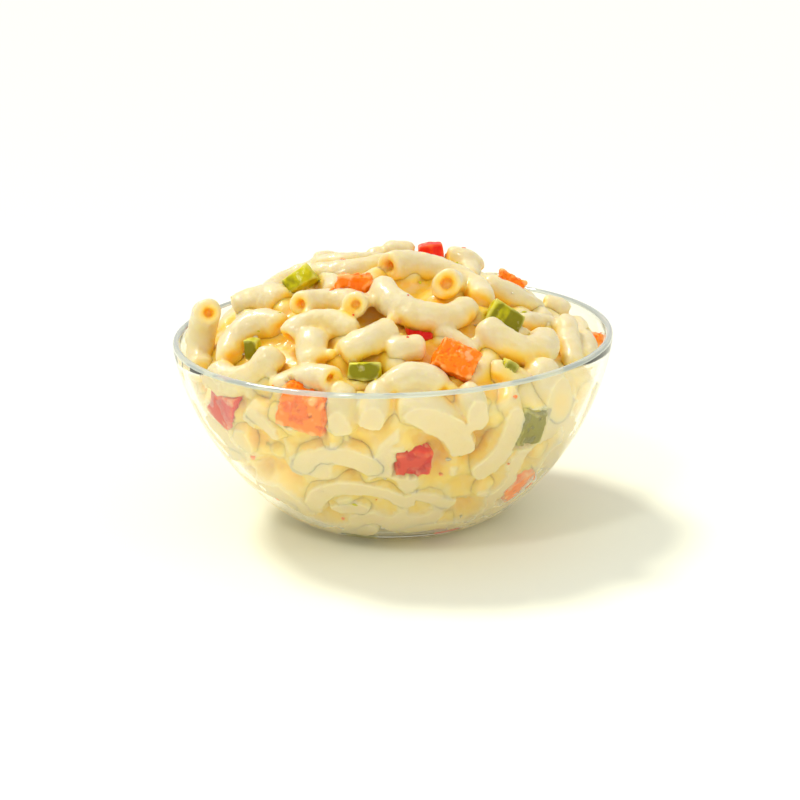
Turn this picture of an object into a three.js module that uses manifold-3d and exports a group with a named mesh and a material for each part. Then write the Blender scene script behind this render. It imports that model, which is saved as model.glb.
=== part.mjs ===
// A clear glass bowl heaped with macaroni salad: elbow macaroni in a creamy dressing, with diced carrot,
// red pepper and green pepper. Millimetres, +Z up, origin under the middle of the bowl's foot.
// The bowl is turned from one profile. The heap is one solid: a smooth core, and the elbows that show fused
// on to it at true size. Each diced vegetable is a solid of its own, set in a pocket of the heap.
import * as THREE from "three";
import { mergeVertices } from "three/addons/utils/BufferGeometryUtils.js";
import Module from "manifold-3d";

// ---- driving dimensions ---------------------------------------------------------------------------------
const RIM_RADIUS = 60;
const BOWL_HEIGHT = 51.5;
const FOOT_RADIUS = 22;
const FOOT_REACH = 13.3; // how far the flat of the foot pulls the side outwards
const RIM_LEAN = 3.1; // how far the side still leans outwards over its upper part
const RIM_DROP = 25.5; // the height of that upper part
const GLASS = 2;
const FLOOR_GLASS = 3;
const FOOT_RING = 3.5;
const FOOT_RECESS = 0.7;
const BOWL_SEGMENTS = 32;
const SIDE_STEPS = 7;
const RIM_STEPS = 3;

const HEAP_TOP = 73; // the crown of the mound, above the table
const HEAP_EDGE = 48.5; // where the mound meets the glass
const MOUND_POWER = 2.2; // 2 is a parabola, and more is a flatter crown with steeper sides
const MOUND_SHIFT = -2.5; // the mound stands a little left of the bowl's axis
const HEART = new THREE.Vector3(0, 0, 40); // a point inside the heap from which all of its outline shows
const CORE_SUNK = 5.4; // the core's depth under the heap's outline
const CORE_SEGMENTS = 22;
const CORE_RINGS = 11;
const FIT = 0.35; // clear gap between neighbouring solids

const TUBE_RADIUS = 3.8;
const TUBE_SIDES = 6;
const TUBE_STEP = 8; // the length of one straight run of a bend
const BORE_SHARE = 0.45; // the bore's radius against the tube's
const BORE_SIDES = 5;
const BORE_DEPTH = 4;

const SEED = 20;
const THROWS = 9000;
const TUBE_RANGE = [3.4, 4.1]; // the radius of a thrown elbow
const HALF_SPAN = [12, 4]; // half the distance between its ends, for the first and the last thrown
const RISE = [0.4, 0.75]; // how far its middle stands off the line between them, against that half
const SPACING = 5.8; // the least distance between the middles of two elbows
const SPACING_POINTS = 4;
const OPEN_ABOVE = 44; // the height above which the front view sees the mound without glass before it
const SEEN_FROM_FRONT = 0.3; // how far a surface must face the front view to count as seen

const VIEW_TILT = THREE.MathUtils.degToRad(15.4); // the front view, looking down by this much
const VIEW_DISTANCE = 700;

// ---- what shows from the front --------------------------------------------------------------------------
// Each place is [across, up, sunk]: millimetres to the right of and above the rim's centre as the front view
// shows it, and the depth of that point under the heap's outline. An elbow is the bend through three places,
// and open names the ends whose bore shows: 0 is its start and 1 its end.
const ELBOWS = {
  // on the mound, left to right
  upright_left: { through: [[-50, 6.4, -4], [-52.3, -0.5, 2], [-52, -9, 3.6]], open: [0] },
  arch_left: { through: [[-44.3, -6.5, 4], [-41.5, 0.2, 3.6], [-30.5, 1.4, 5]], radius: 4 },
  bean_back_left: { through: [[-42, 6.4, 3.6], [-36.5, 9, 3.6], [-29.5, 8.2, 5]], radius: 4.8 },
  behind_green: { through: [[-33, 10.5, 4], [-27.5, 14.8, 4], [-20.5, 17, 4]], radius: 3.2 },
  twin_ends: { through: [[-25.2, 8, 0.6], [-18, 8.4, 4.2], [-10.2, 7.4, 0.6]], radius: 3.6, open: [0, 1] },
  hood: { through: [[-28.4, -1.2, 3.2], [-20.5, 2.8, 3.4], [-10.8, -1, 5.2]], radius: 3.6, open: [0] },
  stub_under_hood: { through: [[-21.4, -0.5, 4.6], [-22.2, -4.6, 4], [-21.6, -9, 4.4]], radius: 4.1 },
  cradle_left: { through: [[-32.3, -4.6, 3], [-37.8, -10.6, 4], [-47.5, -9, 4]], radius: 4.1 },
  open_end_front: { through: [[-16.7, -12.8, 2], [-24.5, -12.6, 4.5], [-33, -15.8, 4.5]], open: [0] },
  long_top_left: { through: [[-20.5, 18.3, 4], [-12, 18.9, 3.4], [-4, 18.8, 5]], radius: 2.9 },
  lump_top_left: { through: [[-20.5, 19.3, 5], [-17, 20, 5], [-13.5, 19.2, 6]], radius: 2.4 },
  top_back: { through: [[-6.5, 19.8, 5], [-2.5, 20.6, 4.5], [3, 20.3, 5]], radius: 2.8 },
  top_crest: { through: [[-1.5, 21.6, 3.6], [2.5, 22, 3.2], [6.3, 21.2, 5]], radius: 3 },
  ring_upper: { through: [[-0.8, 17.7, 1.5], [12, 15.8, 4], [24.2, 7.2, 5]], radius: 3.5, open: [0] },
  ring_end_centre: { through: [[15, 12.6, 0.4], [16.4, 12, 5.5], [19.4, 10.5, 10]], radius: 4.2, open: [0] },
  smile: { through: [[-1.9, 12.3, 2.6], [6, 4.6, 2.8], [20, 6.2, 4.4]], radius: 4 },
  diagonal: { through: [[-14.3, -5.9, 3], [-7, -2.5, 3.2], [-0.1, 1.1, 3.6]] },
  short_under_diagonal: { through: [[-1.8, -6.2, 5], [3.5, -5, 4.4], [8.3, -4.4, 4.4]], radius: 3.6 },
  behind_carrot: { through: [[12.5, -0.5, 5.5], [17, -3.5, 5.5], [22, -8, 6.5]], radius: 3.2 },
  deep_bit_front: { through: [[-12, -15.5, 7.5], [-8.5, -14.6, 7], [-4.5, -15.5, 8]], radius: 3 },
  front_crown: { through: [[-1.8, -16.4, 4.5], [5.6, -13.2, 3.6], [12.6, -16.6, 4.5]], radius: 4.4 },
  big_bean_right: { through: [[25, 0.6, 3], [31.5, -4.8, 3], [40.3, -2.6, 4]], radius: 4.5 },
  slope_right: { through: [[25.5, 12.3, 4], [32, 8.9, 4], [38.8, 4.2, 6]], radius: 3.4 },
  crest_right: { through: [[14.5, 19, 5], [18.8, 17.6, 4.5], [21, 13.9, 5]], radius: 3.1 },
  crest_right_back: { through: [[15.5, 20, 6], [21, 18.6, 5], [23.8, 15.5, 5.5]], radius: 3 },
  edge_back_right: { through: [[41, 5.9, 5], [44, 4.9, 4.5], [47, 2.9, 2.5]], open: [1] },
  flat_behind_green: { through: [[33.5, 1, 6.5], [38, 1.3, 5.5], [43.5, 0, 5]], radius: 3 },
  upright_right: { through: [[47.6, 1.5, 1.2], [48, -5, 3.2], [49, -11.5, 4.4]], radius: 3.2 },
  edge_right: { through: [[49.8, 0.5, 2.6], [52, -4, 3.2], [51.5, -10, 3.8]], radius: 3.2 },
  knob_front_right: { through: [[39.6, -10.8, 3.2], [40.8, -15.5, 4.2], [42.6, -20.5, 4.2]], radius: 4.8 },
  low_right: { through: [[26, -11.2, 5], [30, -12.6, 5], [35, -15.5, 6]], radius: 3.4 },
  // pressed against the front of the glass, top to bottom
  tip_down_left: { through: [[-14.3, -15, 4.5], [-14.2, -20.5, 4], [-13.3, -25.2, 3.4]], radius: 3.7, open: [1] },
  tip_down_centre: { through: [[-3.7, -15.5, 5], [-5, -20, 4], [-6.6, -24, 3.4]], open: [1] },
  shoulder: { through: [[1, -20.5, 5.6], [11, -22.8, 4.4], [16.8, -31, 4]], radius: 4.7 },
  tip_down_right: { through: [[19.5, -16.5, 4], [20.6, -20, 4], [21, -24, 4.2]], radius: 3.8 },
  sweep_right: { through: [[28, -17.5, 4.5], [28.2, -27.5, 4.4], [19, -36, 4.4]], radius: 4.7 },
  end_on_left: { through: [[-37.2, -27.2, 2.6], [-36, -23.5, 8], [-31, -22, 12]], radius: 4.6 },
  slant_left: { through: [[-37.5, -18.5, 4], [-32.5, -22, 4], [-28.8, -26.5, 4.3]], radius: 3.4 },
  under_slant: { through: [[-31, -29.8, 6], [-26, -28.9, 5.6], [-20.5, -27, 7]], radius: 3.3 },
  arch_low: { through: [[-24, -34.4, 4.2], [-14.2, -30.4, 4.2], [-4.2, -35.6, 4.2]], radius: 4.3 },
  arch_lower: { through: [[-20, -44.5, 4], [-12, -38.8, 3.8], [3, -44, 4]], radius: 3.6 },
  curl_low: { through: [[-17, -46.3, 6], [-12.5, -49.2, 4.4], [-7, -47.8, 4]], radius: 3.4 },
  bank_left_high: { through: [[-54.5, -7, 3.4], [-53, -15, 3.6], [-50.5, -22, 3.6]], radius: 3.7 },
  bank_left: { through: [[-49.5, -23, 4], [-46.6, -30, 3.6], [-41, -36.5, 4]] },
  bank_left_low: { through: [[-40, -35, 5], [-32.5, -38.6, 4], [-23.5, -43.8, 4]], radius: 3.5 },
  bank_left_foot: { through: [[-37, -42.5, 4], [-31, -46, 4], [-24, -49, 4.2]], radius: 3.4 },
  stub_low: { through: [[2.8, -39, 4.6], [8.5, -41.7, 4], [14, -44, 3.8]], radius: 3.6 },
  stub_right: { through: [[24, -37.8, 5.5], [21.8, -40.5, 4.4], [20.3, -43.2, 3]], radius: 3.6, open: [1] },
  rest_low: { through: [[0, -49.8, 4], [6.5, -49.2, 3.6], [13.5, -48.5, 4.2]], radius: 3.3 },
  bank_right: { through: [[34.5, -32.5, 4.2], [38, -35.5, 3.4], [36, -40, 3.6]], radius: 4 },
  bank_right_high: { through: [[49.5, -13, 4.5], [47, -21, 4], [43, -29, 4.5]] },
  bank_right_low: { through: [[45, -28, 4], [41.5, -36.5, 3.6], [35, -43.5, 4]], radius: 3.6 },
  base_right: { through: [[27, -47, 4], [21, -50.2, 4], [14, -52.2, 4.5]], radius: 3.6 },
};

// The skyline of the mound in the front view, left to right, as places [across, up].
const SKYLINE = [
  [-56, 2], [-50, 5], [-45, 5], [-38, 12], [-30, 14], [-21, 20], [-10, 21],
  [0, 24], [20, 22], [28, 15], [35, 12], [47, 8], [53, 0],
];

// Diced vegetables: where, how large (across, deep, high), and how each is turned, in degrees: leaned over
// from upright, spun about its own depth, and turned round the vertical.
const DICE = {
  green_pepper_1: { at: [-25, 14.2, 2.4], size: [9, 6, 4.6], turn: [-25, -36, -15] },
  green_pepper_2: { at: [-38.2, -3.8, 4], size: [4, 3.5, 5.5], turn: [0, -4, -25] },
  green_pepper_3: { at: [-8, -10.8, 4.4], size: [8.6, 5, 4.8], turn: [-20, 2, -8] },
  green_pepper_4: { at: [30.6, 2.6, 3], size: [9.5, 4, 6.5], turn: [-15, 38, 20] },
  green_pepper_5: { at: [31.8, -10.4, 2.6], size: [4, 3, 2.8], turn: [-10, 35, 20] },
  green_pepper_6: { at: [35.4, -25.6, 2.8], size: [8.4, 4.5, 10.4], turn: [18, 4, 42] },
  green_pepper_7: { at: [-9.5, -52.8, 1.7], size: [9, 6, 4], turn: [50, 0, -14] },
  carrot_1: { at: [-10, 12.2, 3.2], size: [9.2, 7, 7], turn: [-8, 2, -6] },
  carrot_2: { at: [32.3, 12.2, 2.6], size: [7.5, 5, 4.4], turn: [-12, 30, 10] },
  carrot_3: { at: [16.7, -8.8, 3], size: [10.4, 8, 8.4], turn: [-28, 30, 10] },
  carrot_4: { at: [54, -4.8, 2.6], size: [3, 5, 6], turn: [0, 8, 70] },
  carrot_5: { at: [-24.2, -20.4, 3.2], size: [12.5, 6.5, 10], turn: [12, 14, -24] },
  carrot_6: { at: [31.6, -41.2, 1.8], size: [10, 6, 8], turn: [35, -28, 44] },
  red_pepper_1: { at: [11.1, 21, 2], size: [7, 5, 5.4], turn: [-6, -3, 4] },
  red_pepper_2: { at: [7.4, -0.6, 7], size: [7.5, 5, 5], turn: [-15, -12, 0] },
  red_pepper_3: { at: [-45, -18, 3], size: [8.5, 4.5, 9.5], turn: [14, 28, -52] },
  red_pepper_4: { at: [4.2, -34.2, 2.8], size: [9.5, 4.5, 7.5], turn: [24, 4, 4] },
  red_pepper_5: { at: [12.5, -51.9, 1.6], size: [7, 5, 2], turn: [50, -4, 16] },
};

// The same vegetables on the sides that the front view doesn't show: how far round from the front towards
// the right, and how high above or below the heap's heart, in degrees.
const DICE_BEHIND = {
  green_pepper: [[138, 16], [192, -12], [240, -6], [222, -40]],
  carrot: [[109, -3], [196, 20], [210, 8], [252, -32], [116, -22], [166, 2]],
  red_pepper: [[130, -4], [170, 26], [224, 11], [158, -36]],
};
const DIE_SIZE = { green_pepper: [8, 4.6, 7], carrot: [8.5, 6.5, 8], red_pepper: [8, 4.6, 7] };
const DIE_RANGE = [0.85, 1.2]; // how much smaller or larger than that one of them is
const DIE_SPIN = 45; // how far it is spun either way about its own depth
const DIE_SUNK = 3;
const DIE_UNEVEN = 0.14; // how far its corners stray, against its size
const PEPPER_BOW = 0.1; // how far a pepper die bows, against its width, as it was cut from a round wall

const COLOURS = {
  bowl: 0xe4ebe6,
  heap: 0xf0dc9c,
  green_pepper: 0xa9b01c,
  carrot: 0xff8a1e,
  red_pepper: 0xdc2a1a,
};

// ---- curves and surfaces --------------------------------------------------------------------------------
// Seeded draws from 0 to 1, by the Park and Miller rule.
function seededDraws(seed) {
  const MULTIPLIER = 48271;
  const MODULUS = 2147483647;
  let state = seed;
  return () => {
    state = (state * MULTIPLIER) % MODULUS;
    return state / MODULUS;
  };
}

// The bowl's outer side from foot to rim, x outwards and y up.
const outerSide = new THREE.CubicBezierCurve(
  new THREE.Vector2(FOOT_RADIUS, 0),
  new THREE.Vector2(FOOT_RADIUS + FOOT_REACH, 0),
  new THREE.Vector2(RIM_RADIUS - RIM_LEAN, BOWL_HEIGHT - RIM_DROP),
  new THREE.Vector2(RIM_RADIUS, BOWL_HEIGHT - GLASS / 2),
);

// The side moved inwards by an offset, at share t of its length.
function sideAt(t, offset) {
  const along = outerSide.getTangent(t);
  return outerSide.getPoint(t).add(new THREE.Vector2(-along.y, along.x).multiplyScalar(offset));
}

// The share at which the side, moved inwards, reaches height z.
function shareAtHeight(z, offset) {
  const HALVINGS = 18;
  let low = 0;
  let high = 1;
  for (let halving = 0; halving < HALVINGS; halving++) {
    const middle = (low + high) / 2;
    if (sideAt(middle, offset).y < z) low = middle;
    else high = middle;
  }
  return low;
}

// The side moved inwards, from height z up to the rim.
function sideFrom(z, offset) {
  const start = shareAtHeight(z, offset);
  const shares = [start];
  for (let step = 1; step <= SIDE_STEPS; step++) {
    if (step / SIDE_STEPS > start) shares.push(step / SIDE_STEPS);
  }
  return shares.map((t) => sideAt(t, offset));
}

const INNER_RIM_RADIUS = sideAt(1, GLASS).x;
const MOUND_RISE = HEAP_TOP - HEAP_EDGE;
const WALL_STEPS = 40;
const LEAST_UPRIGHT = 0.2;

// The inside of the glass from the floor to the rim: its height, its radius and how upright it stands.
const WALL = [];
for (let step = 0; step <= WALL_STEPS; step++) {
  const place = sideAt(step / WALL_STEPS, GLASS);
  WALL.push({ z: place.y, radius: place.x, upright: outerSide.getTangent(step / WALL_STEPS).y });
}

// The same at any height.
function wallAt(z) {
  const next = WALL.findIndex((entry) => entry.z > z);
  if (next < 1) return next === 0 ? WALL[0] : WALL[WALL_STEPS];
  const [below, above] = [WALL[next - 1], WALL[next]];
  const share = (z - below.z) / (above.z - below.z);
  return {
    radius: below.radius + share * (above.radius - below.radius),
    upright: below.upright + share * (above.upright - below.upright),
  };
}

// How deep a point lies under the heap's outline: the mound above, the glass round it and the floor below.
function depthInside(point) {
  const reach = Math.min(Math.hypot(point.x - MOUND_SHIFT, point.y) / INNER_RIM_RADIUS, 1);
  const mound = HEAP_EDGE + MOUND_RISE * (1 - reach ** MOUND_POWER);
  const slope = (MOUND_RISE * MOUND_POWER * reach ** (MOUND_POWER - 1)) / INNER_RIM_RADIUS;
  const underMound = (mound - point.z) / Math.hypot(1, slope);
  const wall = wallAt(point.z);
  const insideWall = (wall.radius - Math.hypot(point.x, point.y)) * Math.max(wall.upright, LEAST_UPRIGHT);
  return Math.min(underMound, insideWall, point.z - FLOOR_GLASS);
}

// Walks from start until the heap is as deep as sunk, or else stops where it is deepest.
function walkInto(start, direction, length, sunk) {
  const STEP = 1;
  let deepest = { depth: -Infinity, distance: 0 };
  let last = { depth: -Infinity, distance: 0 };
  for (let distance = 0; distance <= length; distance += STEP) {
    const depth = depthInside(start.clone().addScaledVector(direction, distance));
    if (depth >= sunk) {
      const share = Number.isFinite(last.depth) ? (sunk - last.depth) / (depth - last.depth) : 1;
      return start.clone().addScaledVector(direction, THREE.MathUtils.lerp(last.distance, distance, share));
    }
    last = { depth, distance };
    if (depth > deepest.depth) deepest = last;
  }
  return start.clone().addScaledVector(direction, deepest.distance);
}

const RIM_CENTRE = new THREE.Vector3(0, 0, BOWL_HEIGHT);
const VIEW_AHEAD = new THREE.Vector3(0, Math.cos(VIEW_TILT), -Math.sin(VIEW_TILT));
const VIEW_UP = new THREE.Vector3(0, Math.sin(VIEW_TILT), Math.cos(VIEW_TILT));
const VIEW_EYE = RIM_CENTRE.clone().addScaledVector(VIEW_AHEAD, -VIEW_DISTANCE);

// The point of the heap that the front view shows at across and up.
function seenAt([across, up, sunk]) {
  const target = RIM_CENTRE.clone().addScaledVector(VIEW_UP, up);
  target.x += across;
  const direction = target.clone().sub(VIEW_EYE).normalize();
  return walkInto(target.addScaledVector(direction, -2 * RIM_RADIUS), direction, 4 * RIM_RADIUS, sunk);
}

// The point of the heap in a direction from its heart.
function towards(direction, sunk) {
  const reach = 1.4 * RIM_RADIUS; // past the outline on every side
  const start = HEART.clone().addScaledVector(direction, reach);
  return walkInto(start, direction.clone().negate(), reach, sunk);
}

// A direction from the heart: round is the angle from the front towards the right, above that from level.
function directionOf(round, above) {
  const level = Math.cos(above);
  return new THREE.Vector3(level * Math.sin(round), -level * Math.cos(round), Math.sin(above));
}

// The direction in which the heap gets deeper fastest.
function inwardsAt(point) {
  const STEP = 0.5;
  const inwards = new THREE.Vector3();
  for (const axis of ["x", "y", "z"]) {
    const ahead = point.clone();
    const behind = point.clone();
    ahead[axis] += STEP;
    behind[axis] -= STEP;
    inwards[axis] = depthInside(ahead) - depthInside(behind);
  }
  return inwards.normalize();
}

// The circular bend through three points.
class Bend extends THREE.Curve {
  constructor(start, middle, end) {
    super();
    const toMiddle = middle.clone().sub(start);
    const toEnd = end.clone().sub(start);
    const normal = toMiddle.clone().cross(toEnd);
    const fromEnd = normal.clone().cross(toMiddle).multiplyScalar(toEnd.lengthSq());
    const fromMiddle = toEnd.clone().cross(normal).multiplyScalar(toMiddle.lengthSq());
    const toCentre = fromEnd.add(fromMiddle).divideScalar(2 * normal.lengthSq());
    this.centre = start.clone().add(toCentre);
    this.axis = normal.normalize();
    this.arm = start.clone().sub(this.centre);
    const endArm = end.clone().sub(this.centre);
    const sweep = Math.atan2(this.axis.dot(this.arm.clone().cross(endArm)), this.arm.dot(endArm));
    this.sweep = sweep < 0 ? sweep + 2 * Math.PI : sweep;
  }
  getPoint(t, target = new THREE.Vector3()) {
    return target.copy(this.arm).applyAxisAngle(this.axis, this.sweep * t).add(this.centre);
  }
  // The same bend from one share of it to another.
  between(from, to) {
    return new Bend(this.getPoint(from), this.getPoint((from + to) / 2), this.getPoint(to));
  }
}

// ---- where every elbow and die goes ---------------------------------------------------------------------
function frontElbows() {
  return Object.values(ELBOWS).map(({ through, radius = TUBE_RADIUS, open = [] }) => {
    return { bend: new Bend(...through.map(seenAt)), radius, open };
  });
}

function placedDice() {
  const dice = Object.entries(DICE).map(([name, { at, size, turn }]) => {
    return { name, kind: name.replace(/_\d+$/, ""), centre: seenAt(at), size, turn };
  });
  const draw = seededDraws(SEED);
  for (const [kind, places] of Object.entries(DICE_BEHIND)) {
    const shown = dice.filter((die) => die.kind === kind).length;
    places.forEach(([round, above], index) => {
      const direction = directionOf(THREE.MathUtils.degToRad(round), THREE.MathUtils.degToRad(above));
      const size = DIE_SIZE[kind].map((side) => side * THREE.MathUtils.lerp(...DIE_RANGE, draw()));
      const turn = [-above, THREE.MathUtils.lerp(-DIE_SPIN, DIE_SPIN, draw()), round];
      dice.push({ name: `${kind}_${shown + index + 1}`, kind, centre: towards(direction, DIE_SUNK), size, turn });
    });
  }
  return dice;
}

// An elbow that lies along the outline about a place, turned by heading.
function lyingElbow(place, heading, halfSpan, rise, radius) {
  const inwards = inwardsAt(place);
  const isSteep = Math.abs(inwards.z) < 0.9;
  const across = inwards.clone().cross(isSteep ? new THREE.Vector3(0, 0, 1) : new THREE.Vector3(1, 0, 0));
  const along = across.normalize().applyAxisAngle(inwards, heading);
  const aside = inwards.clone().cross(along);
  const [start, end] = [-halfSpan, halfSpan].map((span) => {
    const outside = place.clone().addScaledVector(inwards, -3 * radius);
    outside.addScaledVector(along, span).addScaledVector(aside, rise);
    return walkInto(outside, inwards, 6 * radius, radius + FIT);
  });
  return { bend: new Bend(start, place, end), radius, open: [] };
}

// How high the skyline stands at across.
function skylineAt(across) {
  const next = SKYLINE.findIndex((place) => place[0] > across);
  if (next < 1) return SKYLINE.at(next)[1];
  const [[left, from], [right, to]] = [SKYLINE[next - 1], SKYLINE[next]];
  return THREE.MathUtils.mapLinear(across, left, right, from, to);
}

// Lets an elbow down by as much as it would stand over the skyline.
function letDown({ bend, radius }) {
  const over = bend.getPoints(SPACING_POINTS).map((point) => {
    const reach = point.sub(VIEW_EYE);
    const scale = VIEW_DISTANCE / reach.dot(VIEW_AHEAD);
    return reach.dot(VIEW_UP) * scale + radius - skylineAt(reach.x * scale);
  });
  bend.centre.z -= Math.max(0, ...over);
}

// Except on the mound's open front, elbows are thrown at the outline, and those that land clear stay.
function thrownElbows(front, dice) {
  const draw = seededDraws(SEED);
  const taken = dice.map(({ centre }) => centre);
  front.forEach(({ bend }) => taken.push(...bend.getPoints(SPACING_POINTS)));
  const landed = [];
  for (let thrown = 0; thrown < THROWS; thrown++) {
    const direction = directionOf(2 * Math.PI * draw(), Math.asin(2 * draw() - 1));
    const heading = 2 * Math.PI * draw();
    const halfSpan = THREE.MathUtils.lerp(...HALF_SPAN, thrown / THROWS);
    const rise = halfSpan * THREE.MathUtils.lerp(...RISE, draw());
    const radius = THREE.MathUtils.lerp(...TUBE_RANGE, draw());
    const place = towards(direction, radius + FIT);
    const isTaken = (point) => taken.some((other) => other.distanceTo(point) < SPACING);
    const isOpenFront = place.z > OPEN_ABOVE && inwardsAt(place).dot(VIEW_AHEAD) > SEEN_FROM_FRONT;
    if (isOpenFront || isTaken(place)) continue;
    const elbow = lyingElbow(place, heading, halfSpan, rise, radius);
    const points = elbow.bend.getPoints(SPACING_POINTS);
    if (points.some(isTaken)) continue;
    taken.push(...points);
    landed.push(elbow);
  }
  landed.forEach(letDown);
  return landed;
}

// ---- solids ---------------------------------------------------------------------------------------------
const wasm = await Module();
wasm.setup();

function solidOf(geometry) {
  const WELD = 1e-4;
  const bare = geometry.clone();
  bare.deleteAttribute("normal");
  bare.deleteAttribute("uv");
  const merged = mergeVertices(bare, WELD);
  const vertProperties = new Float32Array(merged.attributes.position.array);
  return new wasm.Manifold(new wasm.Mesh({ numProp: 3, vertProperties, triVerts: wholeTriangles(merged.index) }));
}

// The triangles with three different corners: at the pole of a turned shape some have two alike.
function wholeTriangles(index) {
  const whole = [];
  for (let at = 0; at < index.count; at += 3) {
    const corners = [index.getX(at), index.getX(at + 1), index.getX(at + 2)];
    if (new Set(corners).size === 3) whole.push(...corners);
  }
  return new Uint32Array(whole);
}

function geometryOf(solid) {
  const { vertProperties, triVerts } = solid.getMesh();
  const geometry = new THREE.BufferGeometry();
  geometry.setAttribute("position", new THREE.BufferAttribute(vertProperties, 3));
  geometry.setIndex(new THREE.BufferAttribute(triVerts, 1));
  geometry.computeVertexNormals();
  return geometry;
}

// A profile turned about the upright axis.
function turned(profile) {
  return solidOf(new THREE.LatheGeometry(profile, BOWL_SEGMENTS).rotateX(Math.PI / 2));
}

function bowlSolid() {
  const outer = sideFrom(0, 0);
  const inner = sideFrom(FLOOR_GLASS, GLASS).reverse();
  const outerEdge = outer.at(-1);
  const rimCentre = outerEdge.clone().add(inner[0]).divideScalar(2);
  const rim = [];
  for (let step = 1; step < RIM_STEPS; step++) {
    rim.push(outerEdge.clone().rotateAround(rimCentre, (Math.PI * step) / RIM_STEPS));
  }
  const foot = [
    new THREE.Vector2(0, FOOT_RECESS),
    new THREE.Vector2(FOOT_RADIUS - FOOT_RING - FOOT_RECESS, FOOT_RECESS),
    new THREE.Vector2(FOOT_RADIUS - FOOT_RING, 0),
  ];
  return turned([...foot, ...outer, ...rim, ...inner, new THREE.Vector2(0, FLOOR_GLASS)]);
}

// The room that the bowl leaves, less the fit, up past the top of the heap.
function roomSolid() {
  const side = sideFrom(FLOOR_GLASS + FIT, GLASS + FIT);
  const ceiling = 2 * HEAP_TOP;
  const lid = [new THREE.Vector2(side.at(-1).x, ceiling), new THREE.Vector2(0, ceiling)];
  return turned([new THREE.Vector2(0, FLOOR_GLASS + FIT), ...side, ...lid]);
}

// The core is a ball whose every vertex is drawn in until it lies as deep under the outline as CORE_SUNK.
function coreSolid() {
  const ball = new THREE.SphereGeometry(1, CORE_SEGMENTS, CORE_RINGS).rotateX(Math.PI / 2);
  const places = ball.attributes.position;
  const direction = new THREE.Vector3();
  for (let index = 0; index < places.count; index++) {
    direction.fromBufferAttribute(places, index).normalize();
    places.setXYZ(index, ...towards(direction, CORE_SUNK));
  }
  return solidOf(ball);
}

// A tube along a bend, solid, with flat ends.
function tubeSolid(bend, radius, sides) {
  const section = new THREE.Shape();
  for (let side = 0; side < sides; side++) {
    const angle = (2 * Math.PI * side) / sides;
    const corner = [radius * Math.cos(angle), radius * Math.sin(angle)];
    if (side === 0) section.moveTo(...corner);
    else section.lineTo(...corner);
  }
  const steps = Math.max(2, Math.round(bend.getLength() / TUBE_STEP));
  return solidOf(new THREE.ExtrudeGeometry(section, { steps, extrudePath: bend, bevelEnabled: false }));
}

function elbowSolid({ bend, radius, open }) {
  const share = BORE_DEPTH / bend.getLength();
  const overrun = 0.1 * share;
  const bores = open.map((end) => {
    const bored = end === 0 ? bend.between(-overrun, share) : bend.between(1 - share, 1 + overrun);
    return tubeSolid(bored, radius * BORE_SHARE, BORE_SIDES);
  });
  return bores.reduce((tube, bore) => tube.subtract(bore), tubeSolid(bend, radius, TUBE_SIDES));
}

// A die cut by hand, its corners uneven and a pepper die bowed, larger all round by grow.
function dieSolid({ kind, centre, size, turn }, index, grow) {
  const isBowed = kind !== "carrot";
  const box = new THREE.BoxGeometry(2, 2, 2, isBowed ? 2 : 1, 1, 1);
  box.deleteAttribute("normal");
  box.deleteAttribute("uv");
  const die = mergeVertices(box);
  const places = die.attributes.position;
  const draw = seededDraws(SEED + index + 1);
  const sides = new THREE.Vector3(...size);
  const halves = sides.clone().divideScalar(2).addScalar(grow);
  const bow = isBowed ? PEPPER_BOW * sides.x : 0;
  const place = new THREE.Vector3();
  for (let vertex = 0; vertex < places.count; vertex++) {
    place.fromBufferAttribute(places, vertex);
    const bowed = bow * (place.x ** 2 - 0.5);
    const stray = new THREE.Vector3(draw() - 0.5, draw() - 0.5, draw() - 0.5).multiply(sides);
    place.multiply(halves).addScaledVector(stray, DIE_UNEVEN);
    place.y += bowed;
    places.setXYZ(vertex, ...place);
  }
  const [lean, spin, round] = turn.map(THREE.MathUtils.degToRad);
  const turning = new THREE.Matrix4().makeRotationFromEuler(new THREE.Euler(lean, spin, round, "ZXY"));
  return solidOf(die.applyMatrix4(turning.setPosition(centre)));
}

// The largest piece alone: loose scraps and sealed hollows go.
function largestPiece(solid) {
  return solid.decompose().reduce((best, piece) => (piece.volume() > best.volume() ? piece : best));
}

function heapSolid(elbows, dice) {
  const SLIVER = 0.4;
  const TRACE = 0.01;
  const heaped = wasm.Manifold.union([coreSolid(), ...elbows.map(elbowSolid)]).simplify(SLIVER);
  const pockets = wasm.Manifold.union(dice.map((die, index) => dieSolid(die, index, FIT)));
  return largestPiece(heaped.intersect(roomSolid()).subtract(pockets).simplify(TRACE));
}

// ---- the scene graph ------------------------------------------------------------------------------------
const salad = new THREE.Group();

function addPiece(name, solid, look) {
  const piece = new THREE.Mesh(geometryOf(solid), new THREE.MeshStandardMaterial(look));
  piece.name = name;
  salad.add(piece);
}

const dice = placedDice();
const front = frontElbows();
const elbows = [...front, ...thrownElbows(front, dice)];
const room = roomSolid();

addPiece("bowl", bowlSolid(), {
  color: COLOURS.bowl,
  roughness: 0.05,
  metalness: 0,
  transparent: true,
  opacity: 0.35,
});
addPiece("macaroni_heap", heapSolid(elbows, dice), { color: COLOURS.heap, roughness: 0.4, metalness: 0 });
dice.forEach((die, index) => {
  const solid = largestPiece(dieSolid(die, index, 0).intersect(room));
  addPiece(die.name, solid, { color: COLOURS[die.kind], roughness: 0.35, metalness: 0 });
});

export default salad;
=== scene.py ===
# %% [markdown]
# # A glass bowl of macaroni salad
#
# The real thing is a small clear glass bowl, 12 cm across, heaped with cooked elbow macaroni in a creamy
# dressing, with hand-cut dice of carrot, red pepper and green pepper. The solids that are loaded first hold
# its sizes and places. This lesson dresses them: it turns a smooth bowl, bends soft tubes of pasta, cuts
# moist vegetables, and lights it all as a bright studio does.

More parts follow.
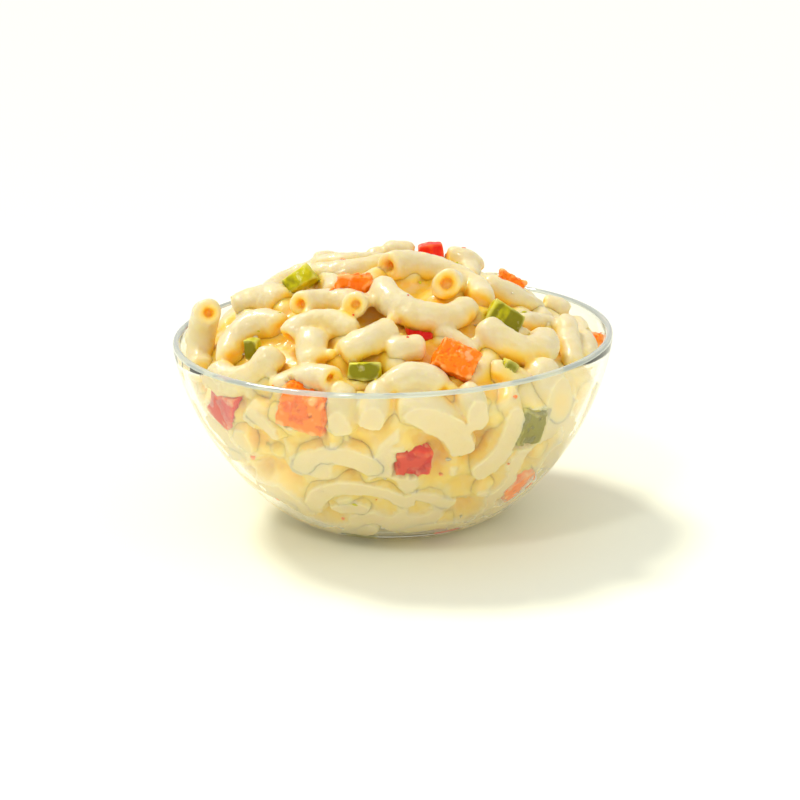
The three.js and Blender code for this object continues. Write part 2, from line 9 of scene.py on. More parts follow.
# %% Load the solids
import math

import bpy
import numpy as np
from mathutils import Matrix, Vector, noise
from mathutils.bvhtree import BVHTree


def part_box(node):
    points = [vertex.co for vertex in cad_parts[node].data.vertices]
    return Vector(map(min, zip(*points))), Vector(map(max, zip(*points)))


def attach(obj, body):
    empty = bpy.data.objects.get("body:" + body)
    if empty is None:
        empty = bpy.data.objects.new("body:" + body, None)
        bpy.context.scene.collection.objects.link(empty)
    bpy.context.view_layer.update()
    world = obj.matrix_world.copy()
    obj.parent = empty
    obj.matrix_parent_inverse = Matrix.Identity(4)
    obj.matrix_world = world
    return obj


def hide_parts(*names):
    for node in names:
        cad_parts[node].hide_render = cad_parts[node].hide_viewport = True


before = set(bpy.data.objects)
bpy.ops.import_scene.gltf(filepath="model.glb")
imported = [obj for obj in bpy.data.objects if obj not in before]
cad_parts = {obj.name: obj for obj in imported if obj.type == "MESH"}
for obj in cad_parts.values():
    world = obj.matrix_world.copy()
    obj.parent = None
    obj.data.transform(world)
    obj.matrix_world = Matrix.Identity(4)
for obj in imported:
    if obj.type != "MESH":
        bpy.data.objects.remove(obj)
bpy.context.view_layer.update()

# %% [markdown]
# Blender works in metres here, and food is small, so lengths below are given in millimetres and turned into
# metres only where a mesh or a material takes them. Colours are read off as sRGB hex values, as on screen,
# while a shader mixes light in linear numbers, so one function turns the one into the other. Three more
# small functions start a material, set a node's inputs, and add a node with its settings and links, which
# keeps each finish short enough to read.

MM = 0.001


def linear(hex_colour):
    """The linear colour of an sRGB hex value."""
    channels = [int(hex_colour[at : at + 2], 16) / 255 for at in (1, 3, 5)]
    return [c / 12.92 if c <= 0.04045 else ((c + 0.055) / 1.055) ** 2.4 for c in channels] + [1.0]


def set_inputs(material, node, inputs):
    """Sets a node's inputs. Each is a value, or another node's output, which is linked."""
    for name, value in inputs.items():
        socket = node.inputs[name]
        if isinstance(value, bpy.types.NodeSocket):
            material.node_tree.links.new(value, socket)
        else:
            socket.default_value = value


def add_node(material, kind, inputs=None, **settings):
    """Adds a shader node with its settings and inputs."""
    node = material.node_tree.nodes.new(kind)
    for name, value in settings.items():
        setattr(node, name, value)
    set_inputs(material, node, inputs or {})
    return node


def new_material(name):
    """A new material, and the shader that it starts with."""
    material = bpy.data.materials.new(name)
    material.use_nodes = True
    return material, material.node_tree.nodes["Principled BSDF"]


# %% [markdown]
# The photo looks down at the bowl by 15.4 degrees from about 0.7 m, through a long lens, and its right side
# is tipped up by a degree and a half. A camera's axes are the columns of its matrix, so the roll is a turn
# of the first two. The bowl stands a little above the middle of the picture: shifting the lens, as on a
# view camera, puts it there and keeps the upright lines upright.

# %% Camera at the photo's view
BOWL_HEIGHT = 51.5
VIEW_TILT = math.radians(15.4)
VIEW_ROLL = math.radians(1.54)
VIEW_DISTANCE = 700
SENSOR = 36
FRAME_PIXELS = 800
PIXELS_PER_MM = 3.664
RIM_CENTRE_PIXEL = (392.6, 331.1)

RIM_CENTRE = np.array([0, 0, BOWL_HEIGHT])
VIEW_AHEAD = np.array([0, math.cos(VIEW_TILT), -math.sin(VIEW_TILT)])
VIEW_UP = np.array([0, math.sin(VIEW_TILT), math.cos(VIEW_TILT)])
VIEW_RIGHT = np.array([1, 0, 0])
VIEW_EYE = RIM_CENTRE - VIEW_DISTANCE * VIEW_AHEAD

camera_data = bpy.data.cameras.new("camera")
camera_data.sensor_width = SENSOR
camera_data.lens = SENSOR * VIEW_DISTANCE * PIXELS_PER_MM / FRAME_PIXELS
camera_data.shift_x = 0.5 - RIM_CENTRE_PIXEL[0] / FRAME_PIXELS
camera_data.shift_y = RIM_CENTRE_PIXEL[1] / FRAME_PIXELS - 0.5
camera_data.clip_start = 0.01
camera = bpy.data.objects.new("camera", camera_data)
bpy.context.scene.collection.objects.link(camera)
across = VIEW_RIGHT * math.cos(VIEW_ROLL) - VIEW_UP * math.sin(VIEW_ROLL)
upwards = VIEW_RIGHT * math.sin(VIEW_ROLL) + VIEW_UP * math.cos(VIEW_ROLL)
turn = Matrix([across, upwards, -VIEW_AHEAD]).transposed().to_4x4()
camera.matrix_world = Matrix.Translation(Vector(VIEW_EYE * MM)) @ turn
bpy.context.scene.camera = camera
print("lens", round(camera_data.lens, 1), "mm, upright shift", round(camera_data.shift_y, 4))

# %% [markdown]
# A product photo like this one is taken in a bright white room: light comes from everywhere, and one far
# soft lamp at the upper left, a little behind, shapes the food and lays a pale shadow to the lower right.
# So the world itself is white. A sun light, spread over 14 degrees, does the shaping and lights the floor
# evenly up to the edge of the picture, which an area light close by wouldn't. Small lamps fill the dark
# side, the second from as low as a white card in front of the bowl, and one gives the wet highlights. Plain
# colour handling keeps the cream from going grey.

# %% Studio: floor, white room and lamps
FLOOR_SIZE = 8
WORLD_STRENGTH = 0.72
KEY_FROM = (-360, 350, 750)
KEY_STRENGTH = 2.0
KEY_SPREAD = math.radians(14)
bpy.context.scene.view_settings.view_transform = "Standard"

bpy.ops.mesh.primitive_plane_add(size=FLOOR_SIZE, location=(0, 0, 0))
floor = bpy.context.object
floor.name = "floor"
floor_finish, shader = new_material("matte_white_table")
matte_white = {"Base Color": linear("#F6F8E8"), "Roughness": 0.6, "Specular IOR Level": 0.2}
set_inputs(floor_finish, shader, matte_white)
floor.data.materials.append(floor_finish)

world = bpy.data.worlds.new("white_room")
bpy.context.scene.world = world
world.use_nodes = True
world.node_tree.nodes["Background"].inputs["Color"].default_value = (1, 1, 1, 1)
world.node_tree.nodes["Background"].inputs["Strength"].default_value = WORLD_STRENGTH


def add_lamp(name, place, size, watts, colour):
    """A square area light that faces the bowl. Place and size are in millimetres."""
    data = bpy.data.lights.new(name, "AREA")
    data.size = size * MM
    data.energy = watts
    data.color = linear(colour)[:3]
    lamp = bpy.data.objects.new(name, data)
    bpy.context.scene.collection.objects.link(lamp)
    towards_lamp = Vector(place) - Vector(RIM_CENTRE)
    turn_to_bowl = towards_lamp.to_track_quat("Z", "Y").to_matrix().to_4x4()
    lamp.matrix_world = Matrix.Translation(Vector(place) * MM) @ turn_to_bowl


key_data = bpy.data.lights.new("key", "SUN")
key_data.energy = KEY_STRENGTH
key_data.angle = KEY_SPREAD
key_data.color = linear("#FFFBF2")[:3]
key = bpy.data.objects.new("key", key_data)
bpy.context.scene.collection.objects.link(key)
key.matrix_world = Vector(KEY_FROM).to_track_quat("Z", "Y").to_matrix().to_4x4()
add_lamp("fill", (420, -260, 420), 260, 0.3, "#FFFDF6")
add_lamp("low_fill", (160, -640, 60), 320, 0.6, "#FFFCF0")
add_lamp("sparkle", (-260, -420, 620), 90, 0.9, "#FFFFFF")

# %% [markdown]
# The bowl is blown or pressed glass: round, thin-walled, with a rim melted smooth. A turned shape could be
# spun from an outline. Here a ring is extruded from height to height and scaled to each radius, as on a
# potter's wheel, because that shows how the wall goes up the outside, over the rim and down the inside. The
# side is one curve with four handles, and the inside is that curve moved inwards by the thickness of the
# glass.

# %% The bowl's side as a curve
RIM_RADIUS = 60
FOOT_RADIUS = 22
FOOT_REACH = 13.3
RIM_LEAN = 3.1
RIM_DROP = 25.5
GLASS = 2
FLOOR_GLASS = 3
FOOT_RING = 3.5
FOOT_RECESS = 0.7
HANDLES = np.array(
    [
        [FOOT_RADIUS, 0],
        [FOOT_RADIUS + FOOT_REACH, 0],
        [RIM_RADIUS - RIM_LEAN, BOWL_HEIGHT - RIM_DROP],
        [RIM_RADIUS, BOWL_HEIGHT - GLASS / 2],
    ]
)


def side_at(share, offset=0.0):
    """Radius and height of the side at a share of its length, moved inwards, and the way it runs there."""

    def on_curve(t):
        t = np.clip(t, 0, 1)[..., None]
        weights = np.concatenate([(1 - t) ** 3, 3 * t * (1 - t) ** 2, 3 * t * t * (1 - t), t**3], axis=-1)
        return weights @ HANDLES

    nearby = 1e-4
    share = np.asarray(share, float)
    run = on_curve(share + nearby) - on_curve(share - nearby)
    run /= np.linalg.norm(run, axis=-1, keepdims=True)
    inwards = np.stack([-run[..., 1], run[..., 0]], axis=-1)
    return on_curve(share) + offset * inwards, run


WALL_STEPS = 40
wall_places, wall_runs = side_at(np.linspace(0, 1, WALL_STEPS + 1), GLASS)
INNER_RIM_RADIUS = wall_places[-1][0]
print("inner rim radius", round(INNER_RIM_RADIUS, 2), "mm")

# %% The bowl, ring by ring
BOWL_SIDES = 128
PROFILE_STEPS = 28
RIM_ROUND_STEPS = 8
FOOT_EDGE = 0.5
FLOOR_ROUND = 3
CREASE = math.radians(35)


def select_only(pieces):
    """Selects pieces and nothing else, with the first of them active."""
    bpy.ops.object.select_all(action="DESELECT")
    for piece in pieces:
        piece.select_set(True)
    bpy.context.view_layer.objects.active = pieces[0]


def edit_mode_on(piece):
    """Opens a piece for editing with nothing selected in it."""
    select_only([piece])
    bpy.ops.object.mode_set(mode="EDIT")
    bpy.ops.mesh.select_all(action="DESELECT")


def bowl_profile():
    """Radius and height from the foot's middle, up the outside, over the rim and down to the floor."""
    recess_edge = FOOT_RADIUS - FOOT_RING
    foot = [
        (recess_edge - FOOT_RECESS, FOOT_RECESS),
        (recess_edge, FOOT_EDGE / 2),
        (recess_edge + FOOT_EDGE, 0),
    ]
    outer = side_at(np.linspace(0, 1, PROFILE_STEPS))[0]
    inner = side_at(np.linspace(1, 0, PROFILE_STEPS), GLASS)[0]
    inner = inner[inner[:, 1] > FLOOR_GLASS + FOOT_EDGE]
    middle = (outer[-1] + inner[0]) / 2
    start = outer[-1] - middle
    rim = []
    for step in range(1, RIM_ROUND_STEPS):
        angle = math.pi * step / RIM_ROUND_STEPS
        turned = start @ np.array([[math.cos(angle), math.sin(angle)], [-math.sin(angle), math.cos(angle)]])
        rim.append(middle + turned)
    floor_edge = (inner[-1][0] - FLOOR_ROUND, FLOOR_GLASS)
    return [*foot, *outer, *rim, *inner, floor_edge]


profile = [(float(radius), float(height)) for radius, height in bowl_profile()]
bpy.ops.mesh.primitive_circle_add(
    vertices=BOWL_SIDES,
    radius=profile[0][0] * MM,
    fill_type="TRIFAN",
    location=(0, 0, profile[0][1] * MM),
)
bowl = bpy.context.object
bowl.name = "glass_bowl"
bpy.ops.object.transform_apply(location=True, rotation=True, scale=True)
edit_mode_on(bowl)
bpy.ops.mesh.select_mode(type="EDGE")
bpy.ops.mesh.select_non_manifold()
for (radius, height), (next_radius, next_height) in zip(profile, profile[1:]):
    bpy.ops.mesh.extrude_region_move(TRANSFORM_OT_translate={"value": (0, 0, (next_height - height) * MM)})
    grow = next_radius / radius
    bpy.ops.transform.resize(value=(grow, grow, 1), center_override=(0, 0, next_height * MM))
bpy.ops.mesh.extrude_region_move()
bpy.ops.mesh.merge(type="CENTER")
bpy.ops.mesh.select_all(action="SELECT")
bpy.ops.mesh.normals_make_consistent(inside=False)
bpy.ops.object.mode_set(mode="OBJECT")
bpy.ops.object.shade_smooth_by_angle(angle=CREASE)
print("glass bowl", len(bowl.data.polygons), "faces,", round(max(bowl.dimensions.xy) / MM, 1), "mm across")

# %% [markdown]
# Soda-lime glass is clear and bends light, so food that touches its inside seems to fill the bowl right out
# to its outline. The rim was melted round, and its bend gathers the grey-green of the glass into a thin
# line. That line gets a finish of its own with a grey-green matte body in it, which is partly the glass's
# own tint and partly painted reflection and refraction of the pale room. Lamps' light, and light that
# bounced off the food, goes through both by a plain transparent shader, because a bent beam would turn
# into noise.

# %% Finish: clear soda-lime glass
RIM_FROM = 49.7


def glass_finish(name, tint, transmission, coat):
    """Clear glass that lets shadow rays and bounced light through unbent."""
    finish, shader = new_material(name)
    set_inputs(
        finish,
        shader,
        {
            "Base Color": linear(tint),
            "Transmission Weight": transmission,
            "Roughness": 0,
            "IOR": 1.5,
            "Coat Weight": coat,
            "Coat Roughness": 0.02,
        },
    )
    path = add_node(finish, "ShaderNodeLightPath")
    unbent = add_node(
        finish,
        "ShaderNodeMath",
        {0: path.outputs["Is Shadow Ray"], 1: path.outputs["Is Diffuse Ray"]},
        operation="MAXIMUM",
    )
    clear = add_node(finish, "ShaderNodeBsdfTransparent", {"Color": linear("#FCFCF6")})
    mixed = add_node(
        finish,
        "ShaderNodeMixShader",
        {0: unbent.outputs[0], 1: shader.outputs["BSDF"], 2: clear.outputs["BSDF"]},
    )
    set_inputs(finish, finish.node_tree.nodes["Material Output"], {"Surface": mixed.outputs[0]})
    return finish


bowl.data.materials.append(glass_finish("clear_soda_lime_glass", "#FDFCF7", 1, 0))
# The rim's matte grey-green body is partly the glass's own tint and partly painted reflection and
# refraction of the room.
bowl.data.materials.append(glass_finish("melted_rim_of_glass", "#CDD5C9", 0.35, 1))
for face in bowl.data.polygons:
    face.material_index = int(face.center.z / MM > RIM_FROM)
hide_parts("bowl")
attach(bowl, "root")

# %% [markdown]
# The heap domes above the rim and lies against the glass below it. To lay pasta on it, the script needs to
# ask how deep any point is under the heap's outline. Three plain surfaces give that: the mound, the inside
# of the glass and the floor. The answer is the least of the three depths, and it works for thousands of
# points at once.

# %% How deep a point lies in the heap
HEAP_TOP = 73
HEAP_EDGE = 48.5
MOUND_POWER = 2.2
MOUND_SHIFT = -2.5
MOUND_RISE = HEAP_TOP - HEAP_EDGE
LEAST_UPRIGHT = 0.2
HEART = np.array([0.0, 0.0, 40.0])
OUT_OF_HEAP = 1.4 * RIM_RADIUS


def inside_wall(points):
    """How far points are inside the glass, and how upright it stands beside them."""
    radius = np.interp(points[..., 2], wall_places[:, 1], wall_places[:, 0])
    upright = np.interp(points[..., 2], wall_places[:, 1], wall_runs[:, 1])
    away = np.hypot(points[..., 0], points[..., 1])
    return (radius - away) * np.maximum(upright, LEAST_UPRIGHT), upright


def depth_inside(points):
    """How deep points lie under the heap's outline."""
    reach = np.minimum(np.hypot(points[..., 0] - MOUND_SHIFT, points[..., 1]) / INNER_RIM_RADIUS, 1)
    mound = HEAP_EDGE + MOUND_RISE * (1 - reach**MOUND_POWER)
    slope = MOUND_RISE * MOUND_POWER * reach ** (MOUND_POWER - 1) / INNER_RIM_RADIUS
    under_mound = (mound - points[..., 2]) / np.hypot(1, slope)
    return np.minimum(np.minimum(under_mound, inside_wall(points)[0]), points[..., 2] - FLOOR_GLASS)


def walk_into(starts, directions, length, sunk):
    """From each start, the place along its direction where the heap is as deep as sunk, or else deepest."""
    distances = np.arange(math.floor(length) + 1.0)
    depths = depth_inside(starts[:, None] + directions[:, None] * distances[:, None])
    sunk = np.broadcast_to(sunk, len(starts))
    reached = depths >= sunk[:, None]
    first = reached.argmax(axis=1)
    before = np.maximum(first - 1, 0)
    rows = np.arange(len(starts))
    low = depths[rows, before]
    gain = np.where(first > before, depths[rows, first] - low, 1)
    along = distances[before] + np.where(first > before, (sunk - low) / gain, 0)
    along = np.where(reached.any(axis=1), along, distances[depths.argmax(axis=1)])
    return starts + directions * along[:, None]


def seen_at(places):
    """The points of the heap that the photo's view shows at [across, up], sunk by the third number."""
    places = np.asarray(places, float)
    targets = RIM_CENTRE + places[:, :1] * VIEW_RIGHT + places[:, 1:2] * VIEW_UP
    directions = targets - VIEW_EYE
    directions /= np.linalg.norm(directions, axis=1, keepdims=True)
    return walk_into(targets - 2 * RIM_RADIUS * directions, directions, 4 * RIM_RADIUS, places[:, 2])


def towards(directions, sunk):
    """The points of the heap in directions from its heart."""
    return walk_into(HEART + OUT_OF_HEAP * directions, -directions, OUT_OF_HEAP, sunk)


def inwards_at(points):
    """The directions in which the heap gets deeper fastest."""
    half = 0.5
    gains = [depth_inside(points + half * axis) - depth_inside(points - half * axis) for axis in np.eye(3)]
    inwards = np.stack(gains, axis=-1)
    return inwards / np.linalg.norm(inwards, axis=-1, keepdims=True)


print("depth of the heart", round(float(depth_inside(HEART)), 1), "mm")

# %% [markdown]
# Every elbow that shows from the front is placed one by one: three places on the picture that its middle
# line goes through, each with its depth under the outline, which says what lies over what. The three make
# one circular bend, because pasta is cut from a bent tube. A fourth number is the tube's own radius. The
# second table names the ends whose hole shows.

# %% The elbows that show from the front
TUBE_RADIUS = 3.8
ELBOWS = {
    "upright_left": [[-50, 6.4, -4], [-52.3, -0.5, 2], [-52, -9, 3.6]],
    "arch_left": [[-44.3, -6.5, 4], [-41.5, 0.2, 3.6], [-30.5, 1.4, 5], 4],
    "bean_back_left": [[-42, 6.4, 3.6], [-36.5, 9, 3.6], [-29.5, 8.2, 5], 4.8],
    "behind_green": [[-33, 10.5, 4], [-27.5, 14.8, 4], [-20.5, 17, 4], 3.2],
    "twin_ends": [[-25.2, 8, 0.6], [-18, 8.4, 4.2], [-10.2, 7.4, 0.6], 3.6],
    "hood": [[-28.4, -1.2, 3.2], [-20.5, 2.8, 3.4], [-10.8, -1, 5.2], 3.6],
    "stub_under_hood": [[-21.4, -0.5, 4.6], [-22.2, -4.6, 4], [-21.6, -9, 4.4], 4.1],
    "cradle_left": [[-32.3, -4.6, 3], [-37.8, -10.6, 4], [-47.5, -9, 4], 4.1],
    "open_end_front": [[-16.7, -12.8, 2], [-24.5, -12.6, 4.5], [-33, -15.8, 4.5]],
    "long_top_left": [[-20.5, 18.3, 4], [-12, 18.9, 3.4], [-4, 18.8, 5], 2.9],
    "lump_top_left": [[-20.5, 19.3, 5], [-17, 20, 5], [-13.5, 19.2, 6], 2.4],
    "top_back": [[-6.5, 19.8, 5], [-2.5, 20.6, 4.5], [3, 20.3, 5], 2.8],
    "top_crest": [[-1.5, 21.6, 3.6], [2.5, 22, 3.2], [6.3, 21.2, 5], 3],
    "ring_upper": [[-0.8, 17.7, 1.5], [13.5, 15.7, 3.6], [24.2, 7.2, 3.4], 4.1],
    "ring_end_centre": [[15, 12.6, 0.4], [16.4, 12, 5.5], [19.4, 10.5, 10], 4.2],
    "smile": [[-1.9, 12.3, 2.6], [6, 4.6, 2.8], [20, 6.2, 4.4], 4],
    "diagonal": [[-14.3, -5.9, 3], [-7, -2.5, 3.2], [-0.1, 1.1, 3.6]],
    "short_under_diagonal": [[-1.8, -6.2, 5], [3.5, -5, 4.4], [8.3, -4.4, 4.4], 3.6],
    "behind_carrot": [[12.5, -0.5, 5.5], [17, -3.5, 5.5], [22, -8, 6.5], 3.2],
    "deep_bit_front": [[-12, -15.5, 7.5], [-8.5, -14.6, 7], [-4.5, -15.5, 8], 3],
    "front_crown": [[-1.8, -16.4, 4.5], [5.6, -13.2, 3.6], [12.6, -16.6, 4.5], 4.4],
    "big_bean_right": [[25, 0.6, 3], [31.5, -4.8, 3], [40.3, -2.6, 4], 4.5],
    "slope_right": [[25.5, 12.3, 4], [32, 8.9, 4], [38.8, 4.2, 6], 3.4],
    "crest_right": [[14.5, 19, 5], [18.8, 17.6, 4.5], [21, 13.9, 5], 3.1],
    "crest_right_back": [[15.5, 20, 6], [21, 18.6, 5], [23.8, 15.5, 5.5], 3],
    "edge_back_right": [[41, 5.9, 5], [44, 4.9, 4.5], [47, 2.9, 2.5]],
    "flat_behind_green": [[33.5, 1, 6.5], [38, 1.3, 5.5], [43.5, 0, 5], 3],
    "upright_right": [[47.6, 1.5, 1.2], [48, -5, 3.2], [49, -11.5, 4.4], 3.2],
    "edge_right": [[49.8, 0.5, 2.6], [52, -4, 3.2], [51.5, -10, 3.8], 3.2],
    "knob_front_right": [[39.6, -10.8, 3.2], [40.8, -15.5, 4.2], [42.6, -20.5, 4.2], 4.8],
    "low_right": [[26, -11.2, 5], [30, -12.6, 5], [35, -15.5, 6], 3.4],
    "tip_down_left": [[-14.3, -15, 4.5], [-14.2, -20.5, 4], [-13.3, -25.2, 3.4], 3.7],
    "tip_down_centre": [[-3.7, -15.5, 5], [-5, -20, 4], [-6.6, -24, 3.4]],
    "shoulder": [[1, -20.5, 5.6], [11, -22.8, 4.4], [16.8, -31, 4], 4.7],
    "tip_down_right": [[19.5, -16.5, 4], [20.6, -20, 4], [21, -24, 4.2], 3.8],
    "sweep_right": [[28, -17.5, 4.5], [28.2, -27.5, 4.4], [19, -36, 4.4], 4.7],
    "end_on_left": [[-37.2, -27.2, 2.6], [-36, -23.5, 8], [-31, -22, 12], 4.6],
    "slant_left": [[-37.5, -18.5, 4], [-32.5, -22, 4], [-28.8, -26.5, 4.3], 3.4],
    "under_slant": [[-31, -29.8, 6], [-26, -28.9, 5.6], [-20.5, -27, 7], 3.3],
    "arch_low": [[-24, -34.4, 4.2], [-14.2, -30.4, 4.2], [-4.2, -35.6, 4.2], 4.3],
    "arch_lower": [[-20, -44.5, 4], [-12, -38.8, 3.8], [3, -44, 4], 3.6],
    "curl_low": [[-17, -46.3, 6], [-12.5, -49.2, 4.4], [-7, -47.8, 4], 3.4],
    "bank_left_high": [[-54.5, -7, 3.4], [-53, -15, 3.6], [-50.5, -22, 3.6], 3.7],
    "bank_left": [[-49.5, -23, 4], [-46.6, -30, 3.6], [-41, -36.5, 4]],
    "bank_left_low": [[-40, -35, 5], [-32.5, -38.6, 4], [-23.5, -43.8, 4], 3.5],
    "bank_left_foot": [[-37, -42.5, 4], [-31, -46, 4], [-24, -49, 4.2], 3.4],
    "stub_low": [[2.8, -39, 4.6], [8.5, -41.7, 4], [14, -44, 3.8], 3.6],
    "stub_right": [[24, -37.8, 5.5], [21.8, -40.5, 4.4], [20.3, -43.2, 3], 3.6],
    "rest_low": [[0, -49.8, 4], [6.5, -49.2, 3.6], [13.5, -48.5, 4.2], 3.3],
    "bank_right": [[34.5, -32.5, 4.2], [38, -35.5, 3.4], [36, -40, 3.6], 4],
    "bank_right_high": [[49.5, -13, 4.5], [47, -21, 4], [43, -29, 4.5]],
    "bank_right_low": [[45, -28, 4], [41.5, -36.5, 3.6], [35, -43.5, 4], 3.6],
    "base_right": [[27, -47, 4], [21, -50.2, 4], [14, -52.2, 4.5], 3.6],
}
OPEN_ENDS = {
    "upright_left": (0,),
    "twin_ends": (0, 1),
    "hood": (0,),
    "open_end_front": (0,),
    "ring_upper": (0,),
    "ring_end_centre": (0,),
    "edge_back_right": (1,),
    "tip_down_left": (1,),
    "tip_down_centre": (1,),
    "stub_right": (1,),
}
front_elbows = []
for name, places in ELBOWS.items():
    radius = places[3] if len(places) > 3 else TUBE_RADIUS
    front_elbows.append({"through": seen_at(places[:3]), "radius": radius, "open": OPEN_ENDS.get(name, ())})
print(len(front_elbows), "elbows placed by eye")

# %% [markdown]
# Nobody places the pasta at the back one by one, and it should still fill the bowl as evenly. So elbows are
# thrown at the outline from the heap's heart in random directions, and one stays where it lands clear of
# those that lie there. The draws are seeded, so every run throws the same. The first thrown are the
# longest, because short ones still fit in the gaps later. What would stand over the skyline that the photo
# shows is let down. A second layer lies a little deeper and shows between the first, clear of the deep gaps
# that the photo shows, and a third throw lies deeper still.

# %% A bend through three points, and seeded draws
DRAW_MULTIPLIER = 48271
DRAW_MODULUS = 2147483647


def seeded_draws(seed, count):
    """Numbers from 0 to 1 that are the same in every run."""
    draws = []
    for _ in range(count):
        seed = seed * DRAW_MULTIPLIER % DRAW_MODULUS
        draws.append(seed / DRAW_MODULUS)
    return np.array(draws)


def bend_through(start, middle, end):
    """The circular bend through three points: its centre, its axis, its arm to the start, and its sweep."""
    to_middle, to_end = middle - start, end - start
    normal = np.cross(to_middle, to_end)
    from_end = np.cross(normal, to_middle) * (to_end @ to_end)
    from_middle = np.cross(to_end, normal) * (to_middle @ to_middle)
    to_centre = (from_end + from_middle) / (2 * normal @ normal)
    centre = start + to_centre
    axis = normal / np.linalg.norm(normal)
    arm = start - centre
    end_arm = end - centre
    sweep = math.atan2(axis @ np.cross(arm, end_arm), arm @ end_arm) % (2 * math.pi)
    return centre, axis, arm, sweep


def points_along(elbow, shares):
    """Points of an elbow's middle line at shares of its length."""
    centre, axis, arm, sweep = bend_through(*elbow["through"])
    angles = sweep * np.asarray(shares)[:, None]
    return centre + arm * np.cos(angles) + np.cross(axis, arm) * np.sin(angles)

# %% An elbow thrown at the outline
SEED = 20
FIT = 0.35
TUBE_RANGE = (3.4, 4.1)
HALF_SPAN = (12, 4)
RISE = (0.4, 0.75)
SPACING = 5.8
SPACING_SHARES = np.linspace(0, 1, 5)
OPEN_ABOVE = 44
SEEN_FROM_FRONT = 0.3
DRAWS_A_THROW = 5
NEARLY_LEVEL = 0.9
ABOVE_OUTLINE = 3
OPEN_IN_TURN = [(0,), (), (0, 1), ()]


def between(pair, share):
    """The value at a share of the way between two."""
    return pair[0] + (pair[1] - pair[0]) * share


def lying_elbow(place, inwards, heading, half_span, rise, radius, sunk):
    """An elbow that lies along the outline about a place."""
    is_steep = abs(inwards[2]) < NEARLY_LEVEL
    level = np.cross(inwards, (0, 0, 1) if is_steep else (1, 0, 0))
    level /= np.linalg.norm(level)
    along = level * math.cos(heading) + np.cross(inwards, level) * math.sin(heading)
    aside = np.cross(inwards, along)
    outside = place - ABOVE_OUTLINE * radius * inwards + rise * aside
    starts = np.array([outside - half_span * along, outside + half_span * along])
    ends = walk_into(starts, np.array([inwards, inwards]), 2 * ABOVE_OUTLINE * radius, sunk)
    return {"through": np.array([ends[0], place, ends[1]]), "radius": radius, "open": ()}


def throw_elbows(seed, throws, taken, deeper, is_front_open):
    """Throws elbows at the outline, deeper under it by so much, and keeps those that land clear."""
    draws = seeded_draws(seed, throws * DRAWS_A_THROW).reshape(throws, DRAWS_A_THROW)
    rounds, heights = 2 * math.pi * draws[:, 0], np.arcsin(2 * draws[:, 1] - 1)
    level = np.cos(heights)
    directions = np.stack([level * np.sin(rounds), -level * np.cos(rounds), np.sin(heights)], axis=1)
    headings = 2 * math.pi * draws[:, 2]
    half_spans = between(HALF_SPAN, np.arange(throws) / throws)
    rises = half_spans * between(RISE, draws[:, 3])
    radii = between(TUBE_RANGE, draws[:, 4])
    sunk = radii + FIT + deeper
    places = towards(directions, sunk)
    inwards = inwards_at(places)
    is_in_front = (places[:, 2] > OPEN_ABOVE) & (inwards @ VIEW_AHEAD > SEEN_FROM_FRONT)
    taken = np.array(taken).reshape(-1, 3)
    landed = []
    for index in range(throws):
        if is_front_open and is_in_front[index]:
            continue
        if (np.linalg.norm(taken - places[index], axis=1) < SPACING).any():
            continue
        elbow = lying_elbow(
            places[index],
            inwards[index],
            headings[index],
            half_spans[index],
            rises[index],
            radii[index],
            sunk[index],
        )
        points = points_along(elbow, SPACING_SHARES)
        gaps = np.linalg.norm(taken[:, None] - points[None], axis=2)
        if (gaps < SPACING).any():
            continue
        taken = np.concatenate([taken, points])
        elbow["open"] = OPEN_IN_TURN[len(landed) % len(OPEN_IN_TURN)]
        landed.append(elbow)
    return landed

# %% Throw the rest of the pasta
SKYLINE = [
    [-56, 2],
    [-50, 5],
    [-45, 5],
    [-38, 12],
    [-30, 14],
    [-21, 20],
    [-10, 21],
    [0, 24],
    [20, 22],
    [28, 15],
    [35, 12],
    [47, 8],
    [53, 0],
]
GAPS = [
    [-27.3, -3.5],
    [-4.8, 3],
    [6.1, 10.9],
    [45, -4],
    [-47, 0.3],
    [-31.4, -30.4],
    [-20.5, -38.9],
    [21.8, -25.6],
    [9.5, -29],
]
GAPS_SUNK = 5
THROWS = 9000
DEEP_THROWS = 6000
DEEPER = 2
DEEPEST = 3.3


def under_skyline(elbows):
    """The elbows, let down where they would stand over the skyline that the photo shows."""
    moved = []
    for elbow in elbows:
        reach = points_along(elbow, SPACING_SHARES) - VIEW_EYE
        scale = VIEW_DISTANCE / (reach @ VIEW_AHEAD)
        allowed = np.interp(reach @ VIEW_RIGHT * scale, *np.transpose(SKYLINE)) - elbow["radius"]
        over = max(float((reach @ VIEW_UP * scale - allowed).max()), 0)
        moved.append({**elbow, "through": elbow["through"] - (0, 0, over)})
    return moved


dice_nodes = sorted(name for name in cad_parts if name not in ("bowl", "macaroni_heap"))
dice_middles = [np.array(sum(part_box(name), Vector())) / 2 / MM for name in dice_nodes]
front_points = [points_along(elbow, SPACING_SHARES) for elbow in front_elbows]
taken = np.concatenate([dice_middles, *front_points])
side_elbows = under_skyline(throw_elbows(SEED, THROWS, taken, 0, True))
gap_places = seen_at([[*gap, GAPS_SUNK] for gap in GAPS])
clear_places = np.concatenate([dice_middles, gap_places])
under_elbows = throw_elbows(SEED + 1, THROWS, clear_places, DEEPER, True)
under_points = [points_along(elbow, SPACING_SHARES) for elbow in under_elbows]
clear_places = np.concatenate([clear_places, *under_points])
deep_elbows = throw_elbows(SEED + 5, DEEP_THROWS, clear_places, DEEPEST, False)
under_elbows = under_skyline(under_elbows + deep_elbows)
print(len(side_elbows), "elbows thrown round the sides,", len(under_elbows), "in the layer under them")

# %% [markdown]
# A cooked elbow is a thick soft tube: about 8 mm across with a hole of under 4. Some ends show that hole
# inside a puffy lip, and dressing has closed the others. Each kind of straight tube is modelled once by
# hand: a disc is extruded step by step, its end is inset and pushed inwards where it is open, and a bevel
# rounds the lips. The masters are then copied for every elbow, and each copy's points are carried on to its
# own bend, a little swollen and a little flattened, since no two pieces of pasta are alike.

